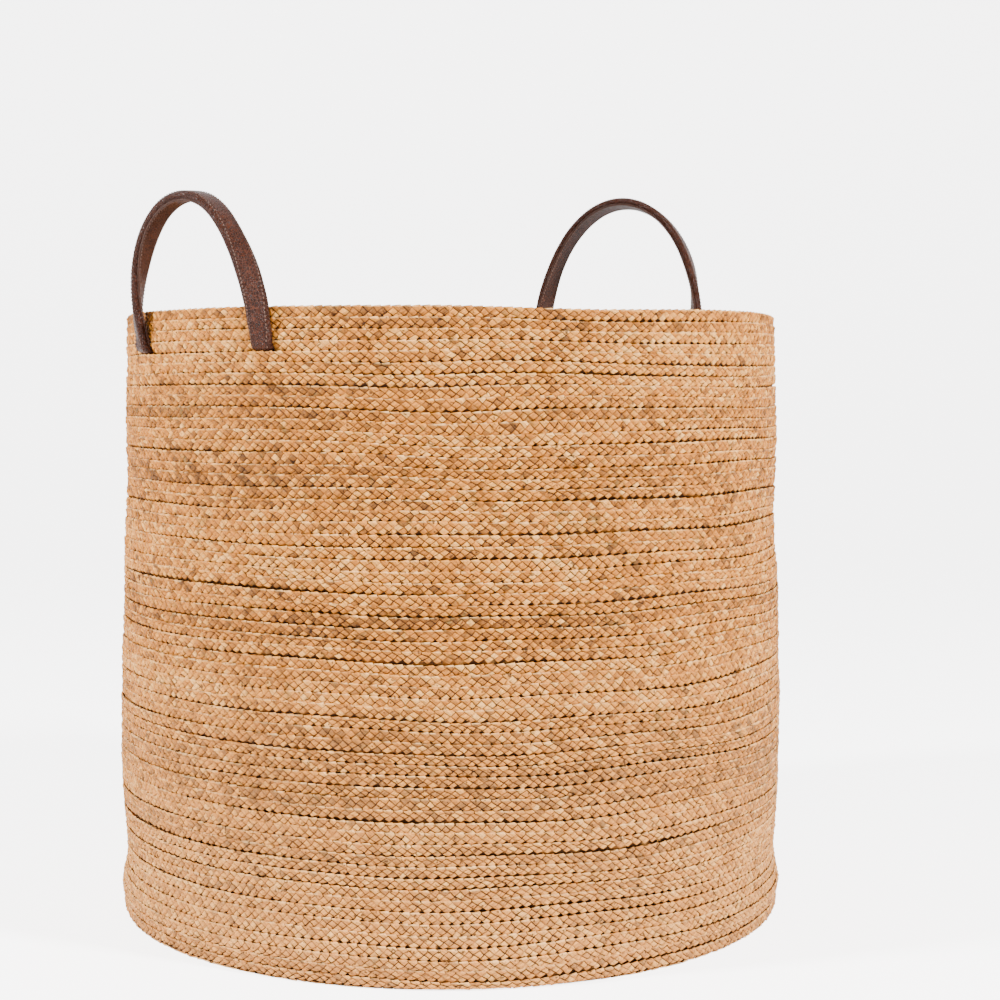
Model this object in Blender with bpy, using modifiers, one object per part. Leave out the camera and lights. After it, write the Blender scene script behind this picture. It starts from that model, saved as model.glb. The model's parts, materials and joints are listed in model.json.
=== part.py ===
"""A round plaited storage basket with two stitched leather strap handles.

One flat plait is coiled into a disc for the base, turned up at the edge and
coiled on into a cylindrical wall. Each handle is a leather strap loop: two
leather layers over a narrow core, sewn along both edges. Its legs come out of
slits in the wall, below the top courses, and its tails are sewn to the inside.
Each loop folds outwards about the line through its two slits.

Units are metres and degrees, +Z is up, the origin is the middle of the base's
underside, and the handles stand at -X and +X.
"""

import math

import bmesh
import bpy
import numpy as np
from mathutils import Matrix, Vector

# Plaited body
BASE_RADIUS = 0.2400
COURSE_PITCH = 0.0071
COURSES = 60
WALL_THICKNESS = 0.0040
BASE_THICKNESS = 0.0050
BASE_EDGE_ROUND = 0.0032
RIM_ROUND = 0.0012
# The wall's outline: share of its height, and how far it stands in or out.
WALL_OUTLINE = (
    (0.000, +0.0005),
    (0.035, +0.0015),
    (0.095, -0.0030),
    (0.220, -0.0008),
    (0.350, +0.0008),
    (0.520, -0.0020),
    (0.690, -0.0050),
    (0.850, -0.0050),
    (1.000, -0.0060),
)
RING_HEIGHTS = (0.035, 0.065, 0.095, 0.15, 0.22, 0.285, 0.35, 0.435, 0.52, 0.605, 0.69, 0.77, 0.85, 0.93)
TURN_STEPS = 96

# Leather straps
STRAP_WIDTH = 0.0158
LEATHER_THICKNESS = 0.0020
CORE_THICKNESS = 0.0010
CORE_INSET = 0.0024
LEG_HALF_ANGLES = {"left": 15.4, "right": 18.4}
FOOT_TURN = 5.0
HANDLE_SETBACK_ANGLE = 4.2
SLIT_COURSES_BELOW_RIM = 4
STRAP_TO_WALL = 0.0016
STRAP_LEAN = 0.0095
TWIST_LENGTH = 0.085
FOLD_CLEARANCE = 0.0024
LOOP_RISES = {"left": 0.0715, "right": 0.1035}
LOOP_SHOULDERS = {"left": -0.08, "right": 0.0}

# Tails inside the wall
TAIL_THICKNESS = 0.0036
TAIL_DROP = 0.0480
TAIL_BEND_RADIUS = 0.0050
TAIL_SLOPE = 40.0
TAIL_END_INSIDE_WALL = 0.0003

# Thread
THREAD_RADIUS = 0.0004
EDGE_STITCH_INSET = 0.0024
TAIL_STITCH_INSET = 0.0026
TAIL_STITCH_TOP = 0.0120

# Clearances
GAP = 0.0003
SLIT_CLEARANCE = 0.0004

# Values worked out from the ones above
WALL_HEIGHT = COURSE_PITCH * COURSES
STRAP_THICKNESS = 2 * LEATHER_THICKNESS + CORE_THICKNESS + 2 * GAP
SLIT_MOUTH = (TAIL_THICKNESS / 2 + SLIT_CLEARANCE) / math.cos(math.radians(TAIL_SLOPE))
SLIT_FALL = WALL_THICKNESS * math.tan(math.radians(TAIL_SLOPE))
SEAM_HEIGHT = WALL_HEIGHT - SLIT_COURSES_BELOW_RIM * COURSE_PITCH
SLIT_HEIGHT = SEAM_HEIGHT + SLIT_MOUTH - SLIT_FALL / 2
HINGE_HEIGHT = SEAM_HEIGHT + SLIT_MOUTH
HANDLE_ANGLES = {"left": 180 - HANDLE_SETBACK_ANGLE, "right": HANDLE_SETBACK_ANGLE}
COLOURS = {
    "plait": ((0.56, 0.33, 0.15), 0.62),
    "leather": ((0.075, 0.030, 0.020), 0.42),
    "lining": ((0.11, 0.060, 0.045), 0.60),
    "core": ((0.30, 0.21, 0.14), 0.80),
    "thread": ((0.10, 0.045, 0.030), 0.70),
}


def clear_scene():
    """Remove every object that the new file starts with."""
    for obj in list(bpy.data.objects):
        bpy.data.objects.remove(obj)


def new_collection(name):
    """Make a collection in the scene and return it."""
    collection = bpy.data.collections.new(name)
    bpy.context.scene.collection.children.link(collection)
    return collection


def material(node, kind):
    """A Principled material of its own for one node, in the finish of its kind."""
    colour, roughness = COLOURS[kind]
    made = bpy.data.materials.new(f"{node}_{kind}")
    made.use_nodes = True
    shader = made.node_tree.nodes["Principled BSDF"]
    shader.inputs["Base Color"].default_value = (*colour, 1.0)
    shader.inputs["Roughness"].default_value = roughness
    shader.inputs["Metallic"].default_value = 0.0
    return made


def add_node(name, data, kind, parent=None):
    """Link one named piece into the basket's collection, with its material."""
    obj = bpy.data.objects.new(name, data)
    bpy.data.collections["storage_basket"].objects.link(obj)
    data.materials.append(material(name, kind))
    obj.parent = parent
    return obj


def wall_offset(share):
    """How far the wall stands out at a share of its height, eased between the outline's points."""
    shares, offsets = zip(*WALL_OUTLINE)
    index = int(np.clip(np.searchsorted(shares, share) - 1, 0, len(shares) - 2))
    step = (share - shares[index]) / (shares[index + 1] - shares[index])
    ease = step * step * (3 - 2 * step)
    return offsets[index] + (offsets[index + 1] - offsets[index]) * ease


def wall_radius(height):
    """The wall's outer radius at a height."""
    return BASE_RADIUS + wall_offset(height / WALL_HEIGHT)


def arc(centre, radius, start, end, count):
    """Points on an arc in a plane, from one angle to another in degrees."""
    angles = np.radians(np.linspace(start, end, count))
    return [(centre[0] + radius * math.cos(a), centre[1] + radius * math.sin(a)) for a in angles]


def wall_profile():
    """The wall's closed section: down the outside, round the turn-up, and up the inside."""
    heights = [share * WALL_HEIGHT for share in RING_HEIGHTS]
    rim_centre = (wall_radius(WALL_HEIGHT) - RIM_ROUND, WALL_HEIGHT - RIM_ROUND)
    foot_centre = (wall_radius(0) - BASE_EDGE_ROUND, BASE_EDGE_ROUND)
    outside = arc(rim_centre, RIM_ROUND, 90, 0, 3)
    outside += [(wall_radius(z), z) for z in reversed(heights)]
    outside += arc(foot_centre, BASE_EDGE_ROUND, 0, -90, 4)
    inside = [(wall_radius(0) - WALL_THICKNESS, 0.0), (wall_radius(0) - WALL_THICKNESS, BASE_THICKNESS)]
    inside += [(wall_radius(z) - WALL_THICKNESS, z) for z in heights]
    inside += [(wall_radius(WALL_HEIGHT) - WALL_THICKNESS, WALL_HEIGHT)]
    return outside + inside


def build_wall():
    """The coiled wall: its section turned about the basket's axis."""
    points = wall_profile()
    mesh = bpy.data.meshes.new("wall_plait")
    edges = [(i, (i + 1) % len(points)) for i in range(len(points))]
    mesh.from_pydata([(r, 0.0, z) for r, z in points], edges, [])
    wall = add_node("wall_plait", mesh, "plait")
    turn = wall.modifiers.new("turn", "SCREW")
    turn.axis = "Z"
    turn.angle = 2 * math.pi
    turn.steps = TURN_STEPS
    turn.render_steps = TURN_STEPS
    turn.use_merge_vertices = False
    turn.use_smooth_shade = True
    return wall


def build_base():
    """The flat coiled base, which lies inside the wall's lowest course."""
    radius = wall_radius(0) - WALL_THICKNESS - GAP
    bpy.ops.mesh.primitive_cylinder_add(vertices=TURN_STEPS, radius=radius, depth=BASE_THICKNESS)
    disc = bpy.context.object
    mesh = disc.data
    bpy.data.objects.remove(disc)
    mesh.transform(Matrix.Translation((0, 0, BASE_THICKNESS / 2)))
    mesh.name = "base_plait"
    base = add_node("base_plait", mesh, "plait")
    edge = base.modifiers.new("edge", "BEVEL")
    edge.width = BASE_THICKNESS / 6
    edge.segments = 1
    edge.limit_method = "ANGLE"
    return base


def foot_frame(side, end):
    """World matrix at one slit: X out of the wall, Y up, origin on the wall's outside."""
    angle = math.radians(HANDLE_ANGLES[side] + end * LEG_HALF_ANGLES[side])
    out = Vector((math.cos(angle), math.sin(angle), 0.0))
    up = Vector((0.0, 0.0, 1.0))
    rotation = Matrix((out, up, out.cross(up))).transposed().to_4x4()
    place = out * wall_radius(SLIT_HEIGHT)
    place.z = SLIT_HEIGHT
    return Matrix.Translation(place) @ rotation


def tail_centre_line():
    """The tail's route in the slit's frame: in and down through the wall, then straight down."""
    slope = math.radians(TAIL_SLOPE)
    inward = Vector((-math.cos(slope), -math.sin(slope)))
    middle = Vector((-WALL_THICKNESS / 2, 0.0))
    start = middle - inward * ((WALL_THICKNESS / 2 - TAIL_END_INSIDE_WALL) / math.cos(slope))
    hang = -(WALL_THICKNESS + 2 * GAP + TAIL_THICKNESS / 2 + sagitta())
    turn = Vector((hang + TAIL_BEND_RADIUS, 0.0))
    bend_start_x = turn.x - TAIL_BEND_RADIUS * math.sin(slope)
    turn.y = (bend_start_x - middle.x) * math.tan(slope) - TAIL_BEND_RADIUS * math.cos(slope)
    bend = arc(turn, TAIL_BEND_RADIUS, 90 + TAIL_SLOPE, 180, 5)
    return [tuple(start), *bend, (hang, -TAIL_DROP)]


def sagitta():
    """How far the round wall stands in from a flat strap that touches it at both edges."""
    inner = wall_radius(SLIT_HEIGHT) - WALL_THICKNESS
    return inner - math.sqrt(inner**2 - (STRAP_WIDTH / 2) ** 2)


def offset_outline(line, half):
    """The outline of a band of the given half thickness along a route."""
    route = np.array(line)
    along = np.gradient(route, axis=0)
    along[0] = route[1] - route[0]
    along[-1] = route[-1] - route[-2]
    along /= np.linalg.norm(along, axis=1)[:, None]
    across = np.stack([-along[:, 1], along[:, 0]], axis=1) * half
    return np.concatenate([route + across, (route - across)[::-1]])


def build_tail(side, end, name):
    """One strap tail: a flat outline as wide as the strap, lying in its slit and down the inside."""
    outline = offset_outline(tail_centre_line(), TAIL_THICKNESS / 2)
    curve = bpy.data.curves.new(name, "CURVE")
    curve.dimensions = "2D"
    curve.fill_mode = "BOTH"
    curve.extrude = STRAP_WIDTH / 2
    spline = curve.splines.new("POLY")
    spline.points.add(len(outline) - 1)
    for point, (x, y) in zip(spline.points, outline):
        point.co = (x, y, 0.0, 1.0)
    spline.use_cyclic_u = True
    tail = add_node(name, curve, "leather")
    tail.matrix_world = foot_frame(side, end)
    return tail


def build_tail_stitch(side, end, name):
    """The ring of thread that sews one tail to the wall, on the tail's inner face."""
    inward = tail_centre_line()[-1][0] - TAIL_THICKNESS / 2 - GAP - THREAD_RADIUS
    half = STRAP_WIDTH / 2 - TAIL_STITCH_INSET
    low = -TAIL_DROP + TAIL_STITCH_INSET
    corners = [(-TAIL_STITCH_TOP, -half), (-TAIL_STITCH_TOP, half), (low, half), (low, -half)]
    curve = thread_curve(name, [(inward, y, z) for y, z in corners], cyclic=True)
    ring = add_node(name, curve, "thread")
    ring.matrix_world = foot_frame(side, end)
    return ring


def thread_curve(name, points, cyclic=False):
    """A thread through the given points."""
    curve = bpy.data.curves.new(name, "CURVE")
    curve.dimensions = "3D"
    curve.bevel_depth = THREAD_RADIUS
    curve.bevel_resolution = 1
    curve.use_fill_caps = True
    spline = curve.splines.new("POLY")
    spline.points.add(len(points) - 1)
    for point, place in zip(spline.points, points):
        point.co = (*place, 1.0)
    spline.use_cyclic_u = cyclic
    return curve


def cut_slit(wall, side, end):
    """Cut one sloping slit through the wall, with clearance all round the tail."""
    frame = foot_frame(side, end) @ Matrix.Translation((-WALL_THICKNESS / 2, 0.0, 0.0))
    slope = Matrix.Rotation(math.radians(TAIL_SLOPE), 4, "Z")
    size = Vector((4 * WALL_THICKNESS, TAIL_THICKNESS, STRAP_WIDTH))
    size += Vector((0.0, 2 * SLIT_CLEARANCE, 2 * SLIT_CLEARANCE))
    block = bmesh.new()
    bmesh.ops.create_cube(block, size=1.0, matrix=Matrix.Diagonal(size).to_4x4())
    mesh = bpy.data.meshes.new(f"{side}_slit_{end}")
    block.to_mesh(mesh)
    block.free()
    cutter = bpy.data.objects.new(mesh.name, mesh)
    bpy.data.collections["cutters"].objects.link(cutter)
    cutter.matrix_world = frame @ slope
    cutter.hide_render = True
    cutter.display_type = "WIRE"
    cut = wall.modifiers.new(mesh.name, "BOOLEAN")
    cut.operation = "DIFFERENCE"
    cut.object = cutter


def leg_place(side):
    """Half the chord between a handle's legs, and the chord's distance from the basket's axis."""
    radius = wall_radius(SLIT_HEIGHT) + STRAP_TO_WALL + STRAP_THICKNESS / 2
    angle = math.radians(LEG_HALF_ANGLES[side])
    return radius * math.sin(angle), radius * math.cos(angle)


def loop_route(side):
    """The strap's centre line in its pivot's frame: leg, half ellipse and leg, leaning outwards.

    The side's shoulder makes the half ellipse wider or, below zero, narrower on its way up.
    """
    rise = LOOP_RISES[side]
    half_span = leg_place(side)[0]
    leg_top = WALL_HEIGHT - HINGE_HEIGHT
    leg = np.linspace(FOLD_CLEARANCE, leg_top, 7)[:-1]
    arch = np.linspace(0, math.pi, 37)
    half = half_span * (1 + LOOP_SHOULDERS[side] * np.abs(np.sin(2 * arch)))
    across = np.concatenate([np.full(6, -half_span), -half * np.cos(arch), np.full(6, half_span)])
    up = np.concatenate([leg, leg_top + rise * np.sin(arch), leg[::-1]])
    out = STRAP_LEAN * np.sin(up / (leg_top + rise) * math.pi / 2)
    return np.stack([out, across, up], axis=1)


def strap_frames(side):
    """Centre line, face normal and width direction of the strap at each station.

    The face looks out of the wall at the feet and turns to look out of the loop
    higher up, because a flat strap only bends over its face.
    """
    route = loop_route(side)
    along = np.gradient(route, axis=0)
    along /= np.linalg.norm(along, axis=1)[:, None]
    steps = np.linalg.norm(np.diff(route, axis=0), axis=1)
    length = np.concatenate([[0.0], np.cumsum(steps)])
    from_foot = np.minimum(length, length[-1] - length)
    ease = np.clip(from_foot / TWIST_LENGTH, 0, 1)
    ease = ease * ease * (3 - 2 * ease)
    foot = LEG_HALF_ANGLES[side] + FOOT_TURN
    turn = np.radians(foot + (90 - foot) * ease)[:, None]
    out = np.array([1.0, 0.0, 0.0]) - along * along[:, :1]
    out /= np.linalg.norm(out, axis=1)[:, None]
    away = np.cross(out, along)
    face = out * np.cos(turn) + away * np.sin(turn)
    return route, face, np.cross(along, face)


def loft(name, sections):
    """A closed mesh through equal rings of points, with a face on each end.

    The second half of each ring splits its faces the other way, so that the
    faces of stacked layers stay parallel where the strap twists.
    """
    block = bmesh.new()
    rings = [[block.verts.new(point) for point in ring] for ring in sections]
    count = len(rings[0])
    for ring, following in zip(rings, rings[1:]):
        for i in range(count):
            j = (i + 1) % count
            if i < count // 2:
                block.faces.new((ring[i], ring[j], following[j]))
                block.faces.new((ring[i], following[j], following[i]))
            else:
                block.faces.new((ring[i], ring[j], following[i]))
                block.faces.new((ring[j], following[j], following[i]))
    block.faces.new(rings[0])
    block.faces.new(rings[-1])
    bmesh.ops.recalc_face_normals(block, faces=block.faces)
    mesh = bpy.data.meshes.new(name)
    block.to_mesh(mesh)
    block.free()
    return mesh


def strap_layer(name, side, half_width, low, high):
    """One layer of the strap, between two distances from its centre line along its face."""
    route, face, across = strap_frames(side)
    core_half = STRAP_WIDTH / 2 - CORE_INSET
    widths = sorted({-half_width, -core_half, core_half, half_width})
    corners = [(u, low) for u in widths] + [(u, high) for u in reversed(widths)]
    rings = np.stack([route + across * u + face * n for u, n in corners], axis=1)
    return loft(name, rings)


def edge_thread(name, side, edge):
    """The row of stitches along one edge of the strap's outer face."""
    route, face, across = strap_frames(side)
    height = STRAP_THICKNESS / 2 + GAP + THREAD_RADIUS
    line = route + face * height + across * edge * (STRAP_WIDTH / 2 - EDGE_STITCH_INSET)
    return thread_curve(name, line.tolist())


def build_handle(side):
    """One strap loop on its pivot: two leather layers, their core and two rows of stitches."""
    pivot = bpy.data.objects.new(f"{side}_handle_pivot", None)
    bpy.data.collections["storage_basket"].objects.link(pivot)
    angle = math.radians(HANDLE_ANGLES[side])
    distance = leg_place(side)[1]
    pivot.location = (distance * math.cos(angle), distance * math.sin(angle), HINGE_HEIGHT)
    pivot.rotation_euler = (0.0, 0.0, angle)
    half = STRAP_WIDTH / 2
    core = CORE_THICKNESS / 2
    face = STRAP_THICKNESS / 2
    layers = (
        ("strap_outer", "leather", half, core + GAP, face),
        ("strap_core", "core", half - CORE_INSET, -core, core),
        ("strap_lining", "lining", half, -face, -core - GAP),
    )
    for piece, kind, width, low, high in layers:
        name = f"{side}_{piece}"
        add_node(name, strap_layer(name, side, width, low, high), kind, pivot)
    for piece, edge in (("front_stitches", 1), ("back_stitches", -1)):
        name = f"{side}_{piece}"
        add_node(name, edge_thread(name, side, edge), "thread", pivot)


def build_tails(wall, side):
    """The two tails of one strap, their slits in the wall and the thread that holds them."""
    for label, end in (("a", -1), ("b", 1)):
        cut_slit(wall, side, end)
        build_tail(side, end, f"{side}_tail_{label}")
        build_tail_stitch(side, end, f"{side}_tail_{label}_stitching")


def main():
    """Build the basket."""
    clear_scene()
    new_collection("storage_basket")
    new_collection("cutters")
    build_base()
    wall = build_wall()
    for side in HANDLE_ANGLES:
        build_handle(side)
        build_tails(wall, side)


main()
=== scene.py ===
"""Looks of a round plaited storage basket with two leather strap handles.

The basket is one long flat plait of dry leaf. It is coiled from the middle of
the base outwards, turned up at the edge and coiled on up the wall, and each
course overlaps the foot of the next. Every crossing of the plait is a raised
facet of its own. The handles are sewn leather straps which pass through slits
in the wall, below the top courses, and hang down inside.

Units are metres. +Z is up, and the origin is the middle of the base's underside.
"""

import json
import logging
import math
from dataclasses import dataclass, field
from enum import Enum

import bpy
import numpy as np
from mathutils import Matrix, Quaternion, Vector


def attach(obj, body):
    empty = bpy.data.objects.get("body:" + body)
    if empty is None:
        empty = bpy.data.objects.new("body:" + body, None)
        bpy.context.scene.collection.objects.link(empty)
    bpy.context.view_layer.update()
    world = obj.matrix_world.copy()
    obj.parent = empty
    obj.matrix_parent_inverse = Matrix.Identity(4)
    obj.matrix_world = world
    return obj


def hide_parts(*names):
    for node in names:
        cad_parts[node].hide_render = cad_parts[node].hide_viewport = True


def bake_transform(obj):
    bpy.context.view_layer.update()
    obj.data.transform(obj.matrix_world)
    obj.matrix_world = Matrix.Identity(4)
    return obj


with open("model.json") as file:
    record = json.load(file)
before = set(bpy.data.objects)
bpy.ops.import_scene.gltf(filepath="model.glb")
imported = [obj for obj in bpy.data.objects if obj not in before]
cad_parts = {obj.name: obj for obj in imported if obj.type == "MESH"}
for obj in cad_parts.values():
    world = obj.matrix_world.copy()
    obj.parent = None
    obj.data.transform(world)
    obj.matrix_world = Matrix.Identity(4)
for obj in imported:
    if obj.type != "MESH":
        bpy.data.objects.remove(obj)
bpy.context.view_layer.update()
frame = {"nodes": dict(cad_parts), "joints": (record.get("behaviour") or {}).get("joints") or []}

MM = 0.001
FULL_TURN = 2 * math.pi

Colour = tuple[float, float, float]
Socket = bpy.types.NodeSocket
NUMBER = "NodeSocketFloat"
VECTOR = "NodeSocketVector"

log = logging.getLogger("basket")


class Side(Enum):
    """The side of the basket that a handle stands on."""

    LEFT = "left"
    RIGHT = "right"


class Slant(Enum):
    """Which way a strand of the plait leans, seen from outside the basket."""

    RISING = 1
    FALLING = -1


class Sheet(Enum):
    """Which surface of the plait a point lies on."""

    OUTER = 0
    INNER = 1
    MIDDLE = 2


# ---------------------------------------------------------------- mesh helpers


def smoothstep(value: np.ndarray) -> np.ndarray:
    """Ease from 0 to 1: 3x² − 2x³ of the value held between 0 and 1."""
    held = np.clip(value, 0.0, 1.0)
    return held * held * (3 - 2 * held)


def unit(vectors: np.ndarray) -> np.ndarray:
    """The vectors divided by their own lengths."""
    return vectors / np.linalg.norm(vectors, axis=-1, keepdims=True)


def mesh_from_arrays(
    name: str, points: np.ndarray, corners: np.ndarray, sizes: np.ndarray
) -> bpy.types.Mesh:
    """Make a mesh from flat arrays.

    Args:
        name: The mesh's name.
        points: Vertex places, shape (n, 3).
        corners: The vertex of every face corner, face after face.
        sizes: How many corners each face has.

    Returns:
        The new mesh, shaded smooth.
    """
    mesh = bpy.data.meshes.new(name)
    mesh.vertices.add(len(points))
    mesh.vertices.foreach_set("co", points.astype(np.float32).ravel())
    mesh.loops.add(len(corners))
    mesh.loops.foreach_set("vertex_index", corners.astype(np.int32))
    mesh.polygons.add(len(sizes))
    starts = np.concatenate([[0], np.cumsum(sizes)[:-1]])
    mesh.polygons.foreach_set("loop_start", starts.astype(np.int32))
    mesh.update(calc_edges=True)
    return mesh


def add_piece(
    name: str, mesh: bpy.types.Mesh, material: bpy.types.Material
) -> bpy.types.Object:
    """Link a mesh into the scene as a piece with its material."""
    mesh.materials.append(material)
    piece = bpy.data.objects.new(name, mesh)
    bpy.context.scene.collection.objects.link(piece)
    log.info("%s: %d faces", name, len(mesh.polygons))
    return piece


def vertex_places(mesh: bpy.types.Mesh) -> np.ndarray:
    """The places of a mesh's vertices, shape (n, 3)."""
    points = np.empty(len(mesh.vertices) * 3)
    mesh.vertices.foreach_get("co", points)
    return points.reshape(-1, 3)


def set_values(mesh: bpy.types.Mesh, name: str, domain: str, values: np.ndarray) -> None:
    """Store one number for each vertex or face as a named attribute."""
    layer = mesh.attributes.new(name, "FLOAT", domain)
    layer.data.foreach_set("value", values.astype(np.float32).ravel())


def set_map(mesh: bpy.types.Mesh, name: str, places: np.ndarray) -> None:
    """Store a flat place for each face corner as a named UV map."""
    layer = mesh.uv_layers.new(name=name, do_init=False)
    layer.uv.foreach_set("vector", places.astype(np.float32).ravel())


def tube_faces(rings: int, around: int) -> tuple[np.ndarray, np.ndarray]:
    """Faces of a closed tube whose rings are stored one after another.

    Face (i, j) joins points j and j+1 of ring i to the same points of ring i+1,
    and a fan closes each end on a point stored after the rings.

    Args:
        rings: How many rings the tube has.
        around: Points in each ring.

    Returns:
        The corners and the face sizes.
    """
    i, j = np.meshgrid(np.arange(rings - 1), np.arange(around), indexing="ij")
    k = (j + 1) % around
    near, far = i * around, (i + 1) * around
    quads = np.stack([near + j, near + k, far + k, far + j], axis=-1)
    j, k = j[0], k[0]
    last = (rings - 1) * around
    tip = np.full(around, rings * around)
    start_fan = np.stack([tip, k, j], axis=-1)
    end_fan = np.stack([tip + 1, last + j, last + k], axis=-1)
    corners = np.concatenate([part.reshape(-1) for part in (quads, start_fan, end_fan)])
    return corners, np.repeat([4, 3], [(rings - 1) * around, 2 * around])


# -------------------------------------------------------------- shader helpers


class Wiring:
    """Adds nodes to a node tree and links them."""

    def __init__(self, tree: bpy.types.NodeTree) -> None:
        """Start on an emptied node tree."""
        self.tree = tree
        tree.nodes.clear()

    def node(self, kind: str, inputs: dict | None = None, **settings: object) -> bpy.types.Node:
        """Add a node.

        Args:
            kind: The node's type.
            inputs: Socket names or numbers with a value or an output socket for each.
            settings: The node's own properties.

        Returns:
            The new node.
        """
        made = self.tree.nodes.new(kind)
        for key, value in settings.items():
            setattr(made, key, value)
        for key, value in (inputs or {}).items():
            if isinstance(value, bpy.types.NodeSocket):
                self.tree.links.new(value, made.inputs[key])
            else:
                made.inputs[key].default_value = value
        return made

    def math(
        self, operation: str, first: object, second: object = 0.0, clamp: bool = False
    ) -> Socket:
        """Add a Math node and return its output."""
        inputs = {0: first, 1: second}
        made = self.node("ShaderNodeMath", inputs, operation=operation, use_clamp=clamp)
        return made.outputs[0]

    def remap(
        self, value: object, low: float, high: float, to_low: float, to_high: float
    ) -> Socket:
        """Map a value's range to another one, held between its ends."""
        inputs = {"Value": value, "From Min": low, "From Max": high}
        inputs.update({"To Min": to_low, "To Max": to_high})
        return self.node("ShaderNodeMapRange", inputs).outputs[0]

    def mix(self, factor: object, first: object, second: object, blend: str = "MIX") -> Socket:
        """Mix two colours, each given as an output or as red, green and blue."""
        first, second = ((*c, 1.0) if isinstance(c, tuple) else c for c in (first, second))
        inputs = {0: factor, 6: first, 7: second}
        return self.node("ShaderNodeMix", inputs, data_type="RGBA", blend_type=blend).outputs[2]

    def ramp(self, factor: object, stops: tuple) -> Socket:
        """A colour ramp through stops of (place, colour)."""
        made = self.node("ShaderNodeValToRGB", {0: factor})
        elements = made.color_ramp.elements
        while len(elements) < len(stops):
            elements.new(1.0)
        for element, (place, colour) in zip(elements, stops):
            element.position = place
            element.color = (*colour, 1.0)
        return made.outputs[0]

    def noise(
        self, vector: object, scale: object, detail: float = 2.0, roughness: float = 0.5
    ) -> Socket:
        """A noise texture's value."""
        inputs = {"Vector": vector, "Scale": scale, "Detail": detail, "Roughness": roughness}
        return self.node("ShaderNodeTexNoise", inputs).outputs[0]

    def stretch(self, vector: object, along: float, across: float) -> Socket:
        """A flat vector scaled along its own two axes."""
        inputs = {"Vector": vector, "Scale": (along, across, 1.0)}
        return self.node("ShaderNodeMapping", inputs).outputs[0]

    def value_of(self, attribute: str) -> Socket:
        """The number stored on the mesh under a name."""
        return self.node("ShaderNodeAttribute", attribute_name=attribute).outputs["Fac"]

    def map_of(self, name: str) -> Socket:
        """The place stored in a UV map."""
        return self.node("ShaderNodeUVMap", uv_map=name).outputs[0]

    def places(self) -> Socket:
        """The object's own coordinates."""
        return self.node("ShaderNodeTexCoord").outputs["Object"]

    def mottle(self, tree: bpy.types.NodeTree, vector: Socket, scale: float, fine: float) -> Socket:
        """The shared mottle group's mask at a scale, with the share of its fine noise."""
        inputs = {"Vector": vector, "Scale": scale, "Fine Share": fine}
        return self.node("ShaderNodeGroup", inputs, node_tree=tree).outputs[0]

    def surface(
        self, colour: Socket, rough: Socket, specular: float, lift: Socket, depth: float,
        strength: float = 0.8,
    ) -> None:
        """Finish a material with its shader.

        Args:
            colour: The colour.
            rough: The roughness.
            specular: The strength of the reflection.
            lift: The bump's height, from 0 to about 1.
            depth: How far a height of 1 stands up.
            strength: The bump's strength.
        """
        inputs = {"Strength": strength, "Distance": depth, "Height": lift}
        inputs = {"Normal": self.node("ShaderNodeBump", inputs).outputs[0]}
        inputs.update({"Base Color": colour, "Roughness": rough, "Specular IOR Level": specular})
        shader = self.node("ShaderNodeBsdfPrincipled", inputs)
        self.node("ShaderNodeOutputMaterial", {0: shader.outputs[0]})


def new_material(name: str) -> tuple[bpy.types.Material, Wiring]:
    """A new material with the wiring of its emptied node tree."""
    made = bpy.data.materials.new(name)
    made.use_nodes = True
    return made, Wiring(made.node_tree)


def new_group(
    name: str, inputs: dict[str, str], outputs: tuple[str, ...]
) -> tuple[Wiring, bpy.types.Node, bpy.types.Node]:
    """Start a shader node group.

    Args:
        name: The group's name.
        inputs: Input names with their socket types.
        outputs: The names of its outputs, which are all numbers.

    Returns:
        The group's wiring, its input node and its output node.
    """
    tree = bpy.data.node_groups.new(name, "ShaderNodeTree")
    for label, kind in inputs.items():
        tree.interface.new_socket(label, in_out="INPUT", socket_type=kind)
    for label in outputs:
        tree.interface.new_socket(label, in_out="OUTPUT", socket_type=NUMBER)
    wiring = Wiring(tree)
    return wiring, wiring.node("NodeGroupInput"), wiring.node("NodeGroupOutput")


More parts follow.
